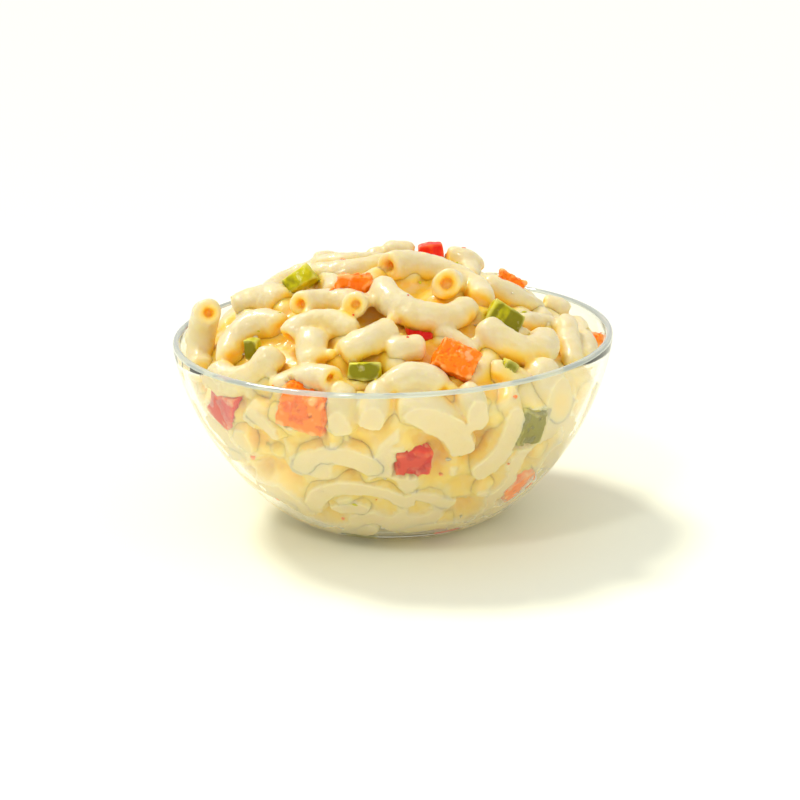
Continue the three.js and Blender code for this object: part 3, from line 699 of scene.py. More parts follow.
# %% Model straight tubes
MASTER_LENGTH = 24
MASTER_SIDES = 16
MASTER_STEPS = 14
LIP = 2.3
HOLE_DEPTH = 2.4
LIP_ROUND = 0.9
TIP_ROUND = 1.7
NEAR_ZERO = 0.1 * MM


def select_in(piece, kind, is_wanted):
    """Selects the faces or edges that a test picks, on the piece that is being edited."""
    bpy.ops.mesh.select_mode(type=kind)
    bpy.ops.mesh.select_all(action="DESELECT")
    bpy.ops.object.mode_set(mode="OBJECT")
    for part in piece.data.polygons if kind == "FACE" else piece.data.edges:
        part.select = is_wanted(part)
    bpy.ops.object.mode_set(mode="EDIT")


def straight_tube(open_ends):
    """A tube along X of MASTER_LENGTH, with a hole in each open end and its other ends rounded off."""
    bpy.ops.mesh.primitive_circle_add(
        vertices=MASTER_SIDES,
        radius=TUBE_RADIUS * MM,
        fill_type="NGON",
        rotation=(0, math.pi / 2, 0),
    )
    tube = bpy.context.object
    bpy.ops.object.transform_apply(location=True, rotation=True, scale=True)
    edit_mode_on(tube)
    bpy.ops.mesh.select_mode(type="FACE")
    bpy.ops.mesh.select_all(action="SELECT")
    for _ in range(MASTER_STEPS):
        step = {"value": (MASTER_LENGTH * MM / MASTER_STEPS, 0, 0)}
        bpy.ops.mesh.extrude_region_move(TRANSFORM_OT_translate=step)
    for end, inwards in ((0, 1), (1, -1)):
        end_x = end * MASTER_LENGTH * MM

        def is_end_face(face):
            return len(face.vertices) > 4 and abs(face.center.x - end_x) < NEAR_ZERO

        def is_end_ring(edge):
            corners = [tube.data.vertices[index].co for index in edge.vertices]
            is_there = all(abs(corner.x - end_x) < NEAR_ZERO for corner in corners)
            return is_there and abs(corners[0].yz.length - corners[1].yz.length) < NEAR_ZERO

        if end in open_ends:
            select_in(tube, "FACE", is_end_face)
            bpy.ops.mesh.inset(thickness=LIP * MM)
            push = {"value": (inwards * HOLE_DEPTH * MM, 0, 0)}
            bpy.ops.mesh.extrude_region_move(TRANSFORM_OT_translate=push)
        select_in(tube, "EDGE", is_end_ring)
        rounding = LIP_ROUND if end in open_ends else TIP_ROUND
        bpy.ops.mesh.bevel(offset=rounding * MM, segments=3)
    bpy.ops.mesh.select_all(action="SELECT")
    bpy.ops.mesh.normals_make_consistent(inside=False)
    bpy.ops.object.mode_set(mode="OBJECT")
    return tube


masters = {open_ends: straight_tube(open_ends) for open_ends in ((), (0,), (1,), (0, 1))}
print("straight tubes", [len(tube.data.polygons) for tube in masters.values()], "faces")

# %% Bend copies of them
DRESSED = 0.12
END_KEPT = 2
SWELL = 0.06
TAPER = 0.05
TAPER_POWER = 4
SQUASH = 0.1
LIES_PRESSED = 0.6
PRESS_BELOW = 46
DRAWS_AN_ELBOW = 3


def coordinates_of(piece):
    """The piece's points in millimetres."""
    flat = np.empty(len(piece.data.vertices) * 3)
    piece.data.vertices.foreach_get("co", flat)
    return flat.reshape(-1, 3) / MM


def set_coordinates(piece, points):
    """Moves the piece's points, given in millimetres."""
    piece.data.vertices.foreach_set("co", (points * MM).ravel())
    piece.data.update()


def normals_of(piece):
    """The directions in which the piece's surface looks at its points."""
    flat = np.empty(len(piece.data.vertices) * 3)
    piece.data.vertices.foreach_get("normal", flat)
    return flat.reshape(-1, 3)


def bent_points(straight, elbow, draws):
    """The straight tube's points carried on to an elbow's bend, with the dressing that coats it."""
    radius = elbow["radius"] + DRESSED
    centre, axis, arm, sweep = bend_through(*elbow["through"])
    arm_length = np.linalg.norm(arm)
    length = arm_length * sweep
    x = straight[:, 0]
    stretched = END_KEPT + (x - END_KEPT) * (length - 2 * END_KEPT) / (MASTER_LENGTH - 2 * END_KEPT)
    is_far_end = x > MASTER_LENGTH - END_KEPT
    along = np.where(x < END_KEPT, x, np.where(is_far_end, length - MASTER_LENGTH + x, stretched))
    share = along / length
    swell = 1 + SWELL * np.sin(math.pi * (2 * share + 2 * draws[0])) * np.sin(math.pi * share)
    taper = 1 - TAPER * (2 * share - 1) ** TAPER_POWER
    section = straight[:, 1:] / TUBE_RADIUS * radius * (swell * taper)[:, None]
    roll = math.pi * draws[1]
    turn = np.array([[math.cos(roll), math.sin(roll)], [-math.sin(roll), math.cos(roll)]])
    squashed = (section @ turn) * (1 + SQUASH * (draws[2] - 0.5), 1 - SQUASH * draws[2])
    section = squashed @ turn.T
    angles = sweep * share
    outwards = arm / arm_length
    ahead = np.cross(axis, outwards)
    spokes = outwards * np.cos(angles)[:, None] + ahead * np.sin(angles)[:, None]
    return centre + spokes * (arm_length + section[:, :1]) + axis * section[:, 1:]


def copy_of(source, points):
    """A copy of an object, with its own mesh and its points moved."""
    copy = source.copy()
    copy.data = source.data.copy()
    bpy.context.scene.collection.objects.link(copy)
    set_coordinates(copy, points)
    return copy


def lay_elbows(elbows, seed):
    """Bent copies of the straight tubes, one for each elbow."""
    draws = seeded_draws(seed, DRAWS_AN_ELBOW * len(elbows)).reshape(-1, DRAWS_AN_ELBOW)
    copies = []
    for elbow, own in zip(elbows, draws):
        straight = masters[elbow["open"]]
        copies.append(copy_of(straight, bent_points(coordinates_of(straight), elbow, own)))
    return copies


def pressed(elbows):
    """The elbows below the rim, moved out against the glass."""
    moved = []
    for elbow in elbows:
        through = elbow["through"].copy()
        low = through[:, 2] < PRESS_BELOW
        through[low] -= LIES_PRESSED * inwards_at(through)[low]
        moved.append({**elbow, "through": through})
    return moved


front_elbows, side_elbows = pressed(front_elbows), pressed(side_elbows)
front_tubes = lay_elbows(front_elbows, SEED + 2)
side_tubes = lay_elbows(side_elbows, SEED + 3)
under_tubes = lay_elbows(under_elbows, SEED + 4)
print("laid", len(front_tubes) + len(side_tubes) + len(under_tubes), "elbows")

# %% [markdown]
# Dressing gathers where pasta touches pasta, and rounds off every groove. So small balls of it are strung
# along the places where two elbows nearly meet. Then elbows and balls are joined and remeshed into one even
# skin, and the smoothing that follows leaves soft fillets between them. That also makes the pasta one clean
# mesh, with no tube hidden inside another.

# %% Dressing where elbows meet
MEETS_WITHIN = 1.6
BLOB_RADIUS = 1.7
CLEAR_OF_DICE = 6
BLOB_SPACING = 1.3
BLOB_SHARES = np.linspace(0.12, 0.88, 12)


def new_ball(radius, subdivisions):
    """A ball round the origin, and its points."""
    bpy.ops.mesh.primitive_ico_sphere_add(subdivisions=subdivisions, radius=radius * MM, location=(0, 0, 0))
    return bpy.context.object, coordinates_of(bpy.context.object)


def dressing_between(elbows):
    """Balls of dressing along the places where elbows nearly touch."""
    lines = [points_along(elbow, BLOB_SHARES) for elbow in elbows]
    dice = np.array(dice_middles)
    places = np.empty((0, 3))
    for index, line in enumerate(lines):
        for other in range(index + 1, len(lines)):
            gaps = np.linalg.norm(line[:, None] - lines[other][None], axis=2)
            reach = elbows[index]["radius"] + elbows[other]["radius"]
            nearest = gaps.argmin(axis=1)
            meets = gaps.min(axis=1) < reach + MEETS_WITHIN
            steps = lines[other][nearest[meets]] - line[meets]
            for place in line[meets] + steps * elbows[index]["radius"] / reach:
                is_new = (np.linalg.norm(places - place, axis=1) > BLOB_SPACING).all()
                if is_new and (np.linalg.norm(dice - place, axis=1) > CLEAR_OF_DICE).all():
                    places = np.vstack([places, place])
    ball, shape = new_ball(BLOB_RADIUS, 2)
    balls = [copy_of(ball, shape + place) for place in places]
    bpy.data.objects.remove(ball)
    return balls


front_balls = dressing_between(front_elbows)
side_balls = dressing_between(side_elbows)
print(len(front_balls), "and", len(side_balls), "balls of dressing")

# %% [markdown]
# Between the elbows lies the dressing that has run down. It is one soft body inside the heap: a ball whose
# points are drawn to their depth under the outline, so it follows the mound and the bowl alike. Where it
# meets the glass it spreads out in smears, which a cloud pattern lays: there its depth goes down to almost
# nothing.

# %% The dressing inside the heap
SUNK_ON_TOP = 6.4
SUNK_AT_GLASS = (0.2, 5)
SMEAR_WIDTH = 8
SMEAR_RANGE = (-0.55, 0.05)
GLASS_FROM = (42, 50)
GAP_WIDTH = 3.5
GAP_DEPTH = 2
BALL_RADIUS = 10

dressing, directions = new_ball(BALL_RADIUS, 6)
directions /= np.linalg.norm(directions, axis=1, keepdims=True)
outline = towards(directions, 0.0)
smear = np.interp([noise.noise(Vector(point / SMEAR_WIDTH)) for point in outline], SMEAR_RANGE, (1, 0))
at_glass = between(SUNK_AT_GLASS, smear)
sunk = between((at_glass, SUNK_ON_TOP), np.interp(outline[:, 2], GLASS_FROM, (0, 1)))
from_gaps = np.linalg.norm(outline[:, None] - gap_places[None], axis=2).min(axis=1) - GAPS_SUNK
sunk += GAP_DEPTH * np.interp(from_gaps, (0, GAP_WIDTH), (1, 0))
set_coordinates(dressing, towards(directions, sunk))
print("dressing", round(float(sunk.mean()), 1), "mm deep on average")

# %% [markdown]
# Dressing clings to pasta in soft lumps, and pasta swells unevenly. A Displace modifier with a cloud
# pattern does both, once with wide low lumps and once with small ones. Pasta can't go through glass:
# whatever would is moved back on to it, which leaves the flat pale patches that pasta shows where it is
# pressed on a bowl. Those patches reach a tenth of a millimetre into the glass, as wet food does to the
# eye, so no air shows between. The layer underneath reaches in less, because two faces in the very same
# place would shade each other.

# %% One skin with lumps


def add_lumps(piece, name, width, height):
    """Lumps of a width and a height in millimetres, as a modifier."""
    pattern = bpy.data.textures.new(name, "CLOUDS")
    pattern.noise_scale = width * MM
    pattern.noise_depth = 1
    lumps = piece.modifiers.new(name, "DISPLACE")
    lumps.texture = pattern
    lumps.texture_coords = "LOCAL"
    lumps.strength = height * MM
    lumps.mid_level = 0.5


def add_even_skin(piece, size, rounds):
    """An even skin of small faces, smoothed over, as modifiers."""
    skin = piece.modifiers.new("even_skin", "REMESH")
    skin.mode = "VOXEL"
    skin.voxel_size = size * MM
    soft = piece.modifiers.new("soft", "SMOOTH")
    soft.iterations = rounds


def apply_all(piece):
    """Applies the piece's modifiers."""
    select_only([piece])
    for modifier in list(piece.modifiers):
        bpy.ops.object.modifier_apply(modifier=modifier.name)
    bpy.ops.object.shade_smooth()

# %% The wall of glass, and room for the dice
WET = 0.1
WET_UNDER = 0.03
CLINGS = 0.5
PUSH_ROUNDS = 3
TINY = 1e-9
ROOM_FOR_DICE = 0.5
SINKS_BY = 4.5
SINKS_ON_TOP = 1.4
FRONT_SKIN = 0.63
SIDE_SKIN = 0.7
UNDER_SKIN = 0.9
SOFT_ROUNDS = 3
LUMPS = {"wide_lumps": (5, 0.9), "small_lumps": (1.8, 0.3)}


def keep_in_glass(points, wet, snap):
    """Points moved back to the inside of the glass, and those nearer to it than snap moved on to it."""
    points = points.copy()
    for _ in range(PUSH_ROUNDS):
        gap, upright = inside_wall(points)
        short = np.where(gap < snap, -wet - gap, 0)
        short = np.where(points[:, 2] < BOWL_HEIGHT - GLASS / 2, short, 0)
        away = np.hypot(points[:, 0], points[:, 1]) + TINY
        lean = np.sqrt(np.maximum(1 - upright**2, 0))
        points[:, :2] -= points[:, :2] / away[:, None] * (short * upright)[:, None]
        points[:, 2] += short * lean
    points[:, 2] = np.maximum(points[:, 2], FLOOR_GLASS - wet)
    return points


def join_as(name, parts):
    """Joins objects into one piece."""
    select_only(parts)
    bpy.ops.object.join()
    piece = bpy.context.object
    piece.name = name
    return piece


def sink_behind_dice(points):
    """Points in front of a die, moved in behind its outer face."""
    points = points.copy()
    for name in dice_nodes:
        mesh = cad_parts[name].data
        corners = [corner.co for corner in mesh.vertices]
        surface = BVHTree.FromPolygons(corners, [face.vertices for face in mesh.polygons])
        low, high = (np.array(corner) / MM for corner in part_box(name))
        near = np.flatnonzero(((points > low - SINKS_BY) & (points < high + SINKS_BY)).all(axis=1))
        inwards = inwards_at(points[near])
        reach = np.interp(points[near][:, 2], GLASS_FROM, (SINKS_BY, SINKS_ON_TOP))
        for index, ahead, longest in zip(near, inwards, reach):
            hit = surface.ray_cast(Vector(points[index] * MM), Vector(ahead), longest * MM)[0]
            if hit:
                points[index] = np.array(hit) / MM + ROOM_FOR_DICE * ahead
    return points


front_macaroni = join_as("macaroni_in_front", front_tubes + front_balls)
side_macaroni = join_as("macaroni_round_the_sides", side_tubes + side_balls)
under_macaroni = join_as("macaroni_underneath", [dressing, *under_tubes])
for straight in masters.values():
    bpy.data.objects.remove(straight)
for piece, size, wet in (
    (front_macaroni, FRONT_SKIN, WET),
    (side_macaroni, SIDE_SKIN, WET),
    (under_macaroni, UNDER_SKIN, WET_UNDER),
):
    add_even_skin(piece, size, SOFT_ROUNDS)
    for name, (width, height) in LUMPS.items():
        add_lumps(piece, name, width, height)
    apply_all(piece)
    set_coordinates(piece, sink_behind_dice(keep_in_glass(coordinates_of(piece), wet, CLINGS)))
    print(piece.name, len(piece.data.polygons), "faces")

# %% [markdown]
# In a heap, light bounces from pasta to pasta and loses its blue on the way, so tops look pale cream,
# grooves golden and deep gaps amber. The material paints that bounced light and shade into the colour,
# so it needs a number for it: how crowded the space just outside a point is. All elbows are stamped as
# balls on a grid of millimetre cells, the grid is blurred, and each point reads it a little way out along
# its normal. A point on top of a tube reads little, one in a gap reads much. Above the rim, depth under the
# outline counts as well, and behind the glass the gap to it does. A second number says where a piece is
# pressed on the glass.

# %% How crowded each place is
GRID_FROM = np.array([-66.0, -66.0, -4.0])
GRID_CELLS = (132, 132, 88)
LAST_PLACE = np.array(GRID_CELLS) - 1.001
STAMP_SHARES = np.linspace(0, 1, 18)
DIE_STAMP = 4.5
BLUR = 2.0


def stamp_balls(grid, centres, radius):
    """Fills the cells of the grid that lie in balls."""
    for centre in centres - GRID_FROM:
        low = np.maximum(np.floor(centre - radius).astype(int), 0)
        high = np.minimum(np.ceil(centre + radius).astype(int) + 1, GRID_CELLS)
        spans = [np.arange(a, b) - c for a, b, c in zip(low, high, centre)]
        apart = spans[0][:, None, None] ** 2 + spans[1][None, :, None] ** 2 + spans[2] ** 2
        grid[low[0] : high[0], low[1] : high[1], low[2] : high[2]][apart < radius**2] = 1


def crowded_grid():
    """How full of food the space round each millimetre cell is, from 0 to 1."""
    cells = np.stack(np.meshgrid(*(np.arange(n) for n in GRID_CELLS), indexing="ij"), axis=-1) + GRID_FROM
    grid = (depth_inside(cells) > SUNK_ON_TOP).astype(float)
    for elbow in front_elbows + side_elbows + under_elbows:
        stamp_balls(grid, points_along(elbow, STAMP_SHARES), elbow["radius"] + DRESSED)
    stamp_balls(grid, np.array(dice_middles), DIE_STAMP)
    squares = [np.fft.fftfreq(n) ** 2 for n in GRID_CELLS[:2]] + [np.fft.rfftfreq(GRID_CELLS[2]) ** 2]
    total = squares[0][:, None, None] + squares[1][None, :, None] + squares[2]
    return np.fft.irfftn(np.fft.rfftn(grid) * np.exp(-2 * (math.pi * BLUR) ** 2 * total), s=GRID_CELLS)


def read_grid(grid, points):
    """The grid's values between its cells, at points."""
    place = np.clip(points - GRID_FROM, 0, LAST_PLACE)
    cell = place.astype(int)
    share = place - cell
    total = 0
    for corner in np.ndindex(2, 2, 2):
        weight = np.prod(np.where(corner, share, 1 - share), axis=1)
        total = total + weight * grid[tuple((cell + corner).T)]
    return total


crowded = crowded_grid()
print("the grid is", round(100 * float(crowded.mean())), "% full")

# %% Keep both numbers at every point
LOOK_OUT = 1.3
GLASS_GAPS = (0, 0.6, 2, 4.5)
GLASS_GAP_SHADE = (0.3, 0.56, 0.62, 0.76)
DEPTHS = (2.8, 6.2)
DEPTH_SHADE = (0, 0.9)
GLASS_FADE = 6
ON_GLASS = (0.15, 0.5)


def set_attribute(piece, name, values):
    """Keeps one number a point, for the materials to read."""
    attribute = piece.data.attributes.new(name, "FLOAT", "POINT")
    attribute.data.foreach_set("value", values.astype(np.float32))


def note_painted_shade(piece):
    """Keeps each point's painted shade, from how crowded the space outside it is, its depth and its gap to
    the glass.
    """
    points = coordinates_of(piece)
    painted_shade = read_grid(crowded, points + LOOK_OUT * normals_of(piece))
    # Shade is painted deeper where the pasta stands back from the glass, and with depth in the gaps above
    # the rim.
    behind_glass = np.interp(inside_wall(points)[0], GLASS_GAPS, GLASS_GAP_SHADE)
    is_low = np.interp(points[:, 2], (HEAP_EDGE - GLASS_FADE, HEAP_EDGE), (1, 0))
    in_gaps = np.interp(depth_inside(points), DEPTHS, DEPTH_SHADE)
    painted_shade = np.maximum(painted_shade, np.where(is_low > 0, behind_glass * is_low, in_gaps))
    set_attribute(piece, "painted_shade", painted_shade)
    return painted_shade


def note_glass(piece):
    """Keeps where a piece is pressed on the glass, from 0 to 1."""
    points = coordinates_of(piece)
    pressed_on = np.interp(inside_wall(points)[0], ON_GLASS, (1, 0))
    set_attribute(piece, "on_glass", np.where(points[:, 2] < BOWL_HEIGHT - GLASS, pressed_on, 0))


for piece in (front_macaroni, side_macaroni, under_macaroni):
    note_glass(piece)
    print(piece.name, "is crowded", np.percentile(note_painted_shade(piece), (5, 50, 95)).round(2))

# %% [markdown]
# Cooked pasta in mayonnaise dressing is pale cream; in a heap its grooves look golden from light that
# bounced between the pieces. Light also soaks a few millimetres into it, red light the furthest, which
# keeps even its shaded sides warm and bright. So the colour goes from the cream to a painted golden and
# amber shade as the crowding rises, subsurface scattering does the soaking, and a thin coat gives the wet
# gloss.
# Patches of paler dressing, 4 mm wide, lie over it, and so does a beige film where it is pressed on the
# glass.

# %% Stops of a ramp, and tints laid over a colour
def set_stops(ramp, stops):
    """Gives a colour ramp its stops, each a place from 0 to 1 and a colour."""
    elements = ramp.color_ramp.elements
    for index, (place, colour) in enumerate(stops):
        stop = elements[index] if index < 2 else elements.new(place)
        stop.position = place
        stop.color = linear(colour)


def laid_over(material, colour, layers):
    """A colour with tints over it, each shown up to its most as a value goes from start to full."""
    for value, (start, full), most, tint in layers:
        share = add_node(
            material,
            "ShaderNodeMapRange",
            {"Value": value, "From Min": start, "From Max": full, "To Max": most},
        )
        mixed = add_node(
            material,
            "ShaderNodeMix",
            {"Factor": share.outputs[0], 6: colour, 7: linear(tint)},
            data_type="RGBA",
        )
        colour = mixed.outputs[2]
    return colour

# %% Finish: creamy dressed macaroni, with painted shade in its grooves
SOAK = 2.6
FILM_WIDTH = 4
PORE_WIDTH = 1.2
PORE_HEIGHT = 0.4
PALER_DRESSING = "#E2D9B8"
FILM_ON_GLASS = "#E6D6B2"
# The first stop is the pasta's own cream; the golden and amber stops after it are painted shade for
# grooves, gaps and holes.
CREAM_AND_PAINTED_SHADE_STOPS = [
    (0.15, "#D8CCA6"),
    (0.45, "#E6D08C"),
    (0.6, "#F0D065"),
    (0.75, "#F5C83E"),
    (0.88, "#F7C032"),
    (1.0, "#FFDC5C"),
]

macaroni, shader = new_material("creamy_dressed_macaroni")
# The ramp paints shade from this attribute: cream where the space is open, golden to amber where it is
# crowded.
painted_shade = add_node(macaroni, "ShaderNodeAttribute", attribute_name="painted_shade")
ramp = add_node(macaroni, "ShaderNodeValToRGB", {"Fac": painted_shade.outputs["Fac"]})
set_stops(ramp, CREAM_AND_PAINTED_SHADE_STOPS)
coordinates = add_node(macaroni, "ShaderNodeTexCoord")
film = add_node(
    macaroni,
    "ShaderNodeTexNoise",
    {"Vector": coordinates.outputs["Object"], "Scale": 1 / (FILM_WIDTH * MM), "Detail": 3.0},
)
on_glass = add_node(macaroni, "ShaderNodeAttribute", attribute_name="on_glass")
colour = laid_over(
    macaroni,
    ramp.outputs["Color"],
    [
        (film.outputs["Fac"], (0.45, 0.7), 0.4, PALER_DRESSING),
        (on_glass.outputs["Fac"], (0, 1), 0.55, FILM_ON_GLASS),
    ],
)
gloss = add_node(
    macaroni,
    "ShaderNodeMapRange",
    {"Value": film.outputs["Fac"], "From Min": 0.3, "From Max": 0.7, "To Min": 0.5, "To Max": 0.3},
)
fine = add_node(
    macaroni,
    "ShaderNodeTexNoise",
    {"Vector": coordinates.outputs["Object"], "Scale": 1 / (PORE_WIDTH * MM), "Detail": 2.0},
)
bump = add_node(
    macaroni,
    "ShaderNodeBump",
    {"Height": fine.outputs["Fac"], "Strength": 0.35, "Distance": PORE_HEIGHT * MM},
)
set_inputs(
    macaroni,
    shader,
    {
        "Base Color": colour,
        "Roughness": gloss.outputs[0],
        "Normal": bump.outputs[0],
        "Subsurface Weight": 1.0,
        "Subsurface Radius": (1.0, 0.82, 0.28),
        "Subsurface Scale": SOAK * MM,
        "Coat Weight": 0.3,
        "Coat Roughness": 0.1,
        "IOR": 1.42,
    },
)
for piece in (front_macaroni, side_macaroni, under_macaroni):
    piece.data.materials.append(macaroni)
    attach(piece, "root")
    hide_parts("macaroni_heap")

# %% [markdown]
# The vegetables are cut by hand: blocks with uneven corners, the carrot rough and a little ragged, the
# peppers smooth on the skin side. Each solid already has the right size, place and turn, so a copy of it is
# the start. Remeshing it into small even faces lets smoothing round its corners and lumps roughen its
# faces, which a block of six faces can't show. Where a die lies against the glass, its near points are
# pressed on to it. Two numbers are kept at each point for the finish. One is which way it faces, out of the
# heap and down: a cut pepper has its skin on one side only, and the skin colour laid there is partly that
# skin and partly painted shade on the side turned from the light. The other is how sharply the surface
# bulges there: the pale colour laid on bulging edges is partly the paler flesh of a cut and partly a
# painted highlight where edges catch the light.

# %% Cut the vegetables
FACE_SIZE = 0.42
CUTS = {
    "carrot": {"smooth": 5, "rough": [(5, 1.4), (2.2, 1.5), (0.9, 0.5)]},
    "red_pepper": {"smooth": 4, "rough": [(3.5, 0.5), (1.0, 0.15)]},
    "green_pepper": {"smooth": 4, "rough": [(3.5, 0.5), (1.0, 0.15)]},
}
TOUCHES = 0.75
SKIN_AND_SHADE_FACE_DOWN = 0.5
EDGE_SMOOTHING = 3
SAME_POINT = 0.01


def kind_of(node):
    """The vegetable that a node's name starts with."""
    return node.rsplit("_", 1)[0]


# How sharply a die bulges sets where its edges are painted pale: partly the cut flesh, partly a painted
# highlight.
def note_edges(piece):
    """Keeps how sharply a piece bulges at each point, which is most along its edges."""
    points = coordinates_of(piece)
    ends = np.empty(2 * len(piece.data.edges), int)
    piece.data.edges.foreach_get("vertices", ends)
    ends = ends.reshape(-1, 2)
    counts = np.bincount(ends.ravel(), minlength=len(points))

    def mean_round(values):
        total = np.zeros_like(values)
        np.add.at(total, ends[:, 0], values[ends[:, 1]])
        np.add.at(total, ends[:, 1], values[ends[:, 0]])
        return (total.T / counts).T

    bulge = ((points - mean_round(mean_round(points))) * normals_of(piece)).sum(axis=1)
    for _ in range(EDGE_SMOOTHING):
        bulge = mean_round(bulge)
    set_attribute(piece, "edge", bulge / bulge.std())


def cut_die(node):
    """A die with rounded, uneven faces, from a copy of its solid."""
    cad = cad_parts[node]
    die = bpy.data.objects.new("cut_" + node, cad.data.copy())
    bpy.context.scene.collection.objects.link(die)
    edit_mode_on(die)
    bpy.ops.mesh.select_all(action="SELECT")
    bpy.ops.mesh.remove_doubles(threshold=SAME_POINT * MM)
    bpy.ops.mesh.normals_make_consistent(inside=False)
    bpy.ops.object.mode_set(mode="OBJECT")
    add_even_skin(die, FACE_SIZE, CUTS[kind_of(node)]["smooth"])
    for width, height in CUTS[kind_of(node)]["rough"]:
        add_lumps(die, f"cut_{width}", width, height)
    apply_all(die)
    points = coordinates_of(die)
    middle = points.mean(axis=0)
    # The skin side faces out of the heap and down, away from the key light, so its colour is partly painted
    # shade.
    skin_and_shade_side = middle * (1, 1, 0) / np.linalg.norm(middle[:2]) - (0, 0, SKIN_AND_SHADE_FACE_DOWN)
    set_attribute(die, "skin", normals_of(die) @ skin_and_shade_side / np.linalg.norm(skin_and_shade_side))
    # Pale colour on bulging edges is partly the cut flesh and partly a painted highlight.
    note_edges(die)
    set_coordinates(die, keep_in_glass(points, 2 * WET, TOUCHES))
    note_glass(die)
    return die


cut_dice = {node: cut_die(node) for node in dice_nodes}
print(len(cut_dice), "dice,", sum(len(die.data.polygons) for die in cut_dice.values()), "faces")

# %% [markdown]
# Carrot is orange and wet, with paler grains and pale broken edges where the knife tore it. Pepper flesh is
# bright and glassy, and its skin is darker. The pattern sizes are millimetres: grains of 0.8 mm in the
# carrot and blotches of 2.5 mm in the peppers. Skin, pale edges, the film on the glass and smears of
# dressing are mixed over them one after the other. The skin colour is partly painted shade on the side that
# faces out and down, and the pale edges are partly painted highlight.

# %% Finish: moist cut vegetables
SMEAR_OF_DRESSING = "#EBDDAE"
DRESSING_WIDTH = 3.4
VEGETABLE_SOAK = 1.5
GRAIN_HEIGHT = 0.3
BLOTCH_PLACES = (0.35, 0.55, 0.72)
VEGETABLES = {
    "carrot": {
        "name": "moist_cut_carrot",
        "colours": ["#F86400", "#FF8406", "#FFA232"],
        "grain": 0.8,
        "skin": "#FF7E08",
        "edge": "#FFD088",
    },
    "red_pepper": {
        "name": "moist_cut_red_pepper",
        "colours": ["#E41404", "#EE2606", "#F64E1C"],
        "grain": 2.5,
        "skin": "#D01004",
        "edge": "#FC8040",
    },
    "green_pepper": {
        "name": "moist_cut_green_pepper",
        "colours": ["#B4AE00", "#CCC400", "#DCD42C"],
        "grain": 2.5,
        "skin": "#757000",
        "edge": "#D8D478",
    },
}


def vegetable_finish(name, colours, grain, skin, edge):
    """A moist cut vegetable: blotches, skin and painted shade on one side, edges pale and partly painted
    highlight, a wet coat.
    """
    material, shader = new_material(name)
    coordinates = add_node(material, "ShaderNodeTexCoord")
    blotches = add_node(
        material,
        "ShaderNodeTexNoise",
        {"Vector": coordinates.outputs["Object"], "Scale": 1 / (grain * MM), "Detail": 4.0},
    )
    ramp = add_node(material, "ShaderNodeValToRGB", {"Fac": blotches.outputs["Fac"]})
    set_stops(ramp, zip(BLOTCH_PLACES, colours))
    noted = {
        name: add_node(material, "ShaderNodeAttribute", attribute_name=name).outputs["Fac"]
        for name in ("skin", "edge", "on_glass")
    }
    patches = add_node(
        material,
        "ShaderNodeTexNoise",
        {"Vector": coordinates.outputs["Object"], "Scale": 1 / (DRESSING_WIDTH * MM), "Detail": 3.0},
    )
    # Skin colour here is partly painted shade, and the pale colour on bulging edges is partly painted
    # highlight.
    colour = laid_over(
        material,
        ramp.outputs["Color"],
        [
            (noted["skin"], (0.3, 0.55), 0.9, skin),
            (noted["edge"], (1.2, 3), 0.6, edge),
            (noted["on_glass"], (0, 1), 0.1, FILM_ON_GLASS),
            (patches.outputs["Fac"], (0.6, 0.7), 0.35, SMEAR_OF_DRESSING),
        ],
    )
    bump = add_node(
        material,
        "ShaderNodeBump",
        {"Height": blotches.outputs["Fac"], "Strength": 0.4, "Distance": GRAIN_HEIGHT * MM},
    )
    set_inputs(
        material,
        shader,
        {
            "Base Color": colour,
            "Normal": bump.outputs[0],
            "Roughness": 0.35,
            "Specular IOR Level": 0.15,
            "Coat Weight": 0.1,
            "Coat Roughness": 0.1,
            "Subsurface Weight": 0.15,
            "Subsurface Radius": (1.0, 0.4, 0.1),
            "Subsurface Scale": VEGETABLE_SOAK * MM,
        },
    )
    return material


finishes = {kind: vegetable_finish(**values) for kind, values in VEGETABLES.items()}
for node, die in cut_dice.items():
    die.data.materials.clear()
    die.data.materials.append(finishes[kind_of(node)])
    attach(die, "root")
    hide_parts(node)

# %% [markdown]
# Stirring tears crumbs off the vegetables and leaves flecks of dressing. They are a millimetre or two long,
# and without them the pasta looks too clean. Each is a small ball, squeezed and made uneven. Some lie where
# the photo shows them, and the others fall on the heap from all sides by seeded draws: a ray finds the
# pasta they land on, and where it meets a die first, there is no crumb.

# %% Where crumbs and flecks lie
CRUMBS = {
    "carrot": [
        [-5.6, -45],
        [-38.2, -32.4],
        [-14.4, -49.9],
        [11.9, -38.6],
        [32.5, -18.5],
        [30, -36.2],
        [30.5, 15.5],
        [34, 14.2],
    ],
    "red_pepper": [[-37, -14.5], [9, -31.5], [4, -1.8]],
    "green_pepper": [[-36.5, 1], [-5, -13.2], [36, 4.2]],
    "dressing": [[-37.5, -0.5], [-41, -5.2], [-8.5, -9.6], [33, 9.5]],
}
THROWN_CRUMBS = {"carrot": 14, "red_pepper": 5, "green_pepper": 6, "dressing": 24}


def tree_of(piece):
    """A piece's faces, ready for rays."""
    return BVHTree.FromObject(piece, bpy.context.evaluated_depsgraph_get())


pasta_trees = [tree_of(piece) for piece in (front_macaroni, side_macaroni, under_macaroni)]
die_trees = [tree_of(die) for die in cut_dice.values()]


def lands_at(start, ahead):
    """Where a ray first meets the pasta, or nothing where a die is in the way."""

    def nearest(trees):
        hits = [tree.ray_cast(Vector(start * MM), Vector(ahead)) for tree in trees]
        return min((hit[3] / MM for hit in hits if hit[0]), default=math.inf)

    distance = nearest(pasta_trees)
    return None if distance > nearest(die_trees) else start + distance * ahead


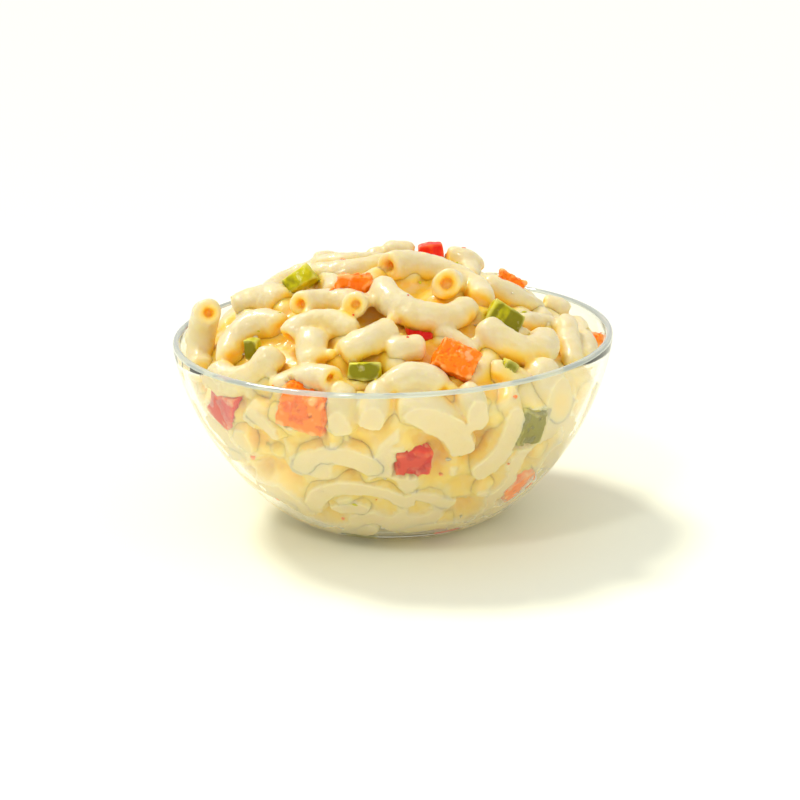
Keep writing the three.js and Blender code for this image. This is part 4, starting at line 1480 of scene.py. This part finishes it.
def crumb_places(kind, draws):
    """The places of the crumbs of one kind: those seen in the photo, and those that fall."""
    rays = []
    for across, up in CRUMBS[kind]:
        ahead = RIM_CENTRE + across * VIEW_RIGHT + up * VIEW_UP - VIEW_EYE
        rays.append((VIEW_EYE, ahead / np.linalg.norm(ahead)))
    for round_draw, height_draw in draws[len(rays) :, :2]:
        above = math.asin(2 * height_draw - 1)
        level, round_by = math.cos(above), 2 * math.pi * round_draw
        outwards = np.array([level * math.sin(round_by), -level * math.cos(round_by), math.sin(above)])
        rays.append((HEART + 2 * RIM_RADIUS * outwards, -outwards))
    places = [lands_at(*ray) for ray in rays]
    return [place for place in places if place is not None]

# %% Crumbs and flecks
CRUMB_SIZES = (0.3, 0.8)
CRUMB_SQUEEZE = (1.3, 0.8, 0.5)
CRUMB_UNEVEN = 0.5
DRAWS_A_CRUMB = 6


def scatter_crumbs(kind, seed):
    """All crumbs of one kind, as one piece."""
    count = len(CRUMBS[kind]) + THROWN_CRUMBS[kind]
    draws = seeded_draws(seed, DRAWS_A_CRUMB * count).reshape(-1, DRAWS_A_CRUMB)
    ball, shape = new_ball(1, 2)
    crumbs = []
    for place, own in zip(crumb_places(kind, draws), draws):
        uneven = [1 + CRUMB_UNEVEN * noise.noise(Vector(point + place)) for point in shape]
        turned = Matrix.Rotation(2 * math.pi * own[3], 3, "Z") @ Matrix.Rotation(math.pi * own[4], 3, "X")
        points = shape * CRUMB_SQUEEZE * between(CRUMB_SIZES, own[2] ** 2) * np.array(uneven)[:, None]
        points = points @ np.array(turned) + place
        crumbs.append(copy_of(ball, keep_in_glass(points, 2 * WET, 0)))
    bpy.data.objects.remove(ball)
    piece = join_as("crumbs_of_" + kind, crumbs)
    bpy.ops.object.shade_smooth()
    return piece


for index, kind in enumerate(CRUMBS):
    crumbs = scatter_crumbs(kind, SEED + 10 + index)
    is_dressing = kind == "dressing"
    if is_dressing:
        set_attribute(crumbs, "painted_shade", np.zeros(len(crumbs.data.vertices)))
    crumbs.data.materials.append(macaroni if is_dressing else finishes[kind])
    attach(crumbs, "root")
    print(crumbs.name, len(crumbs.data.polygons), "faces")
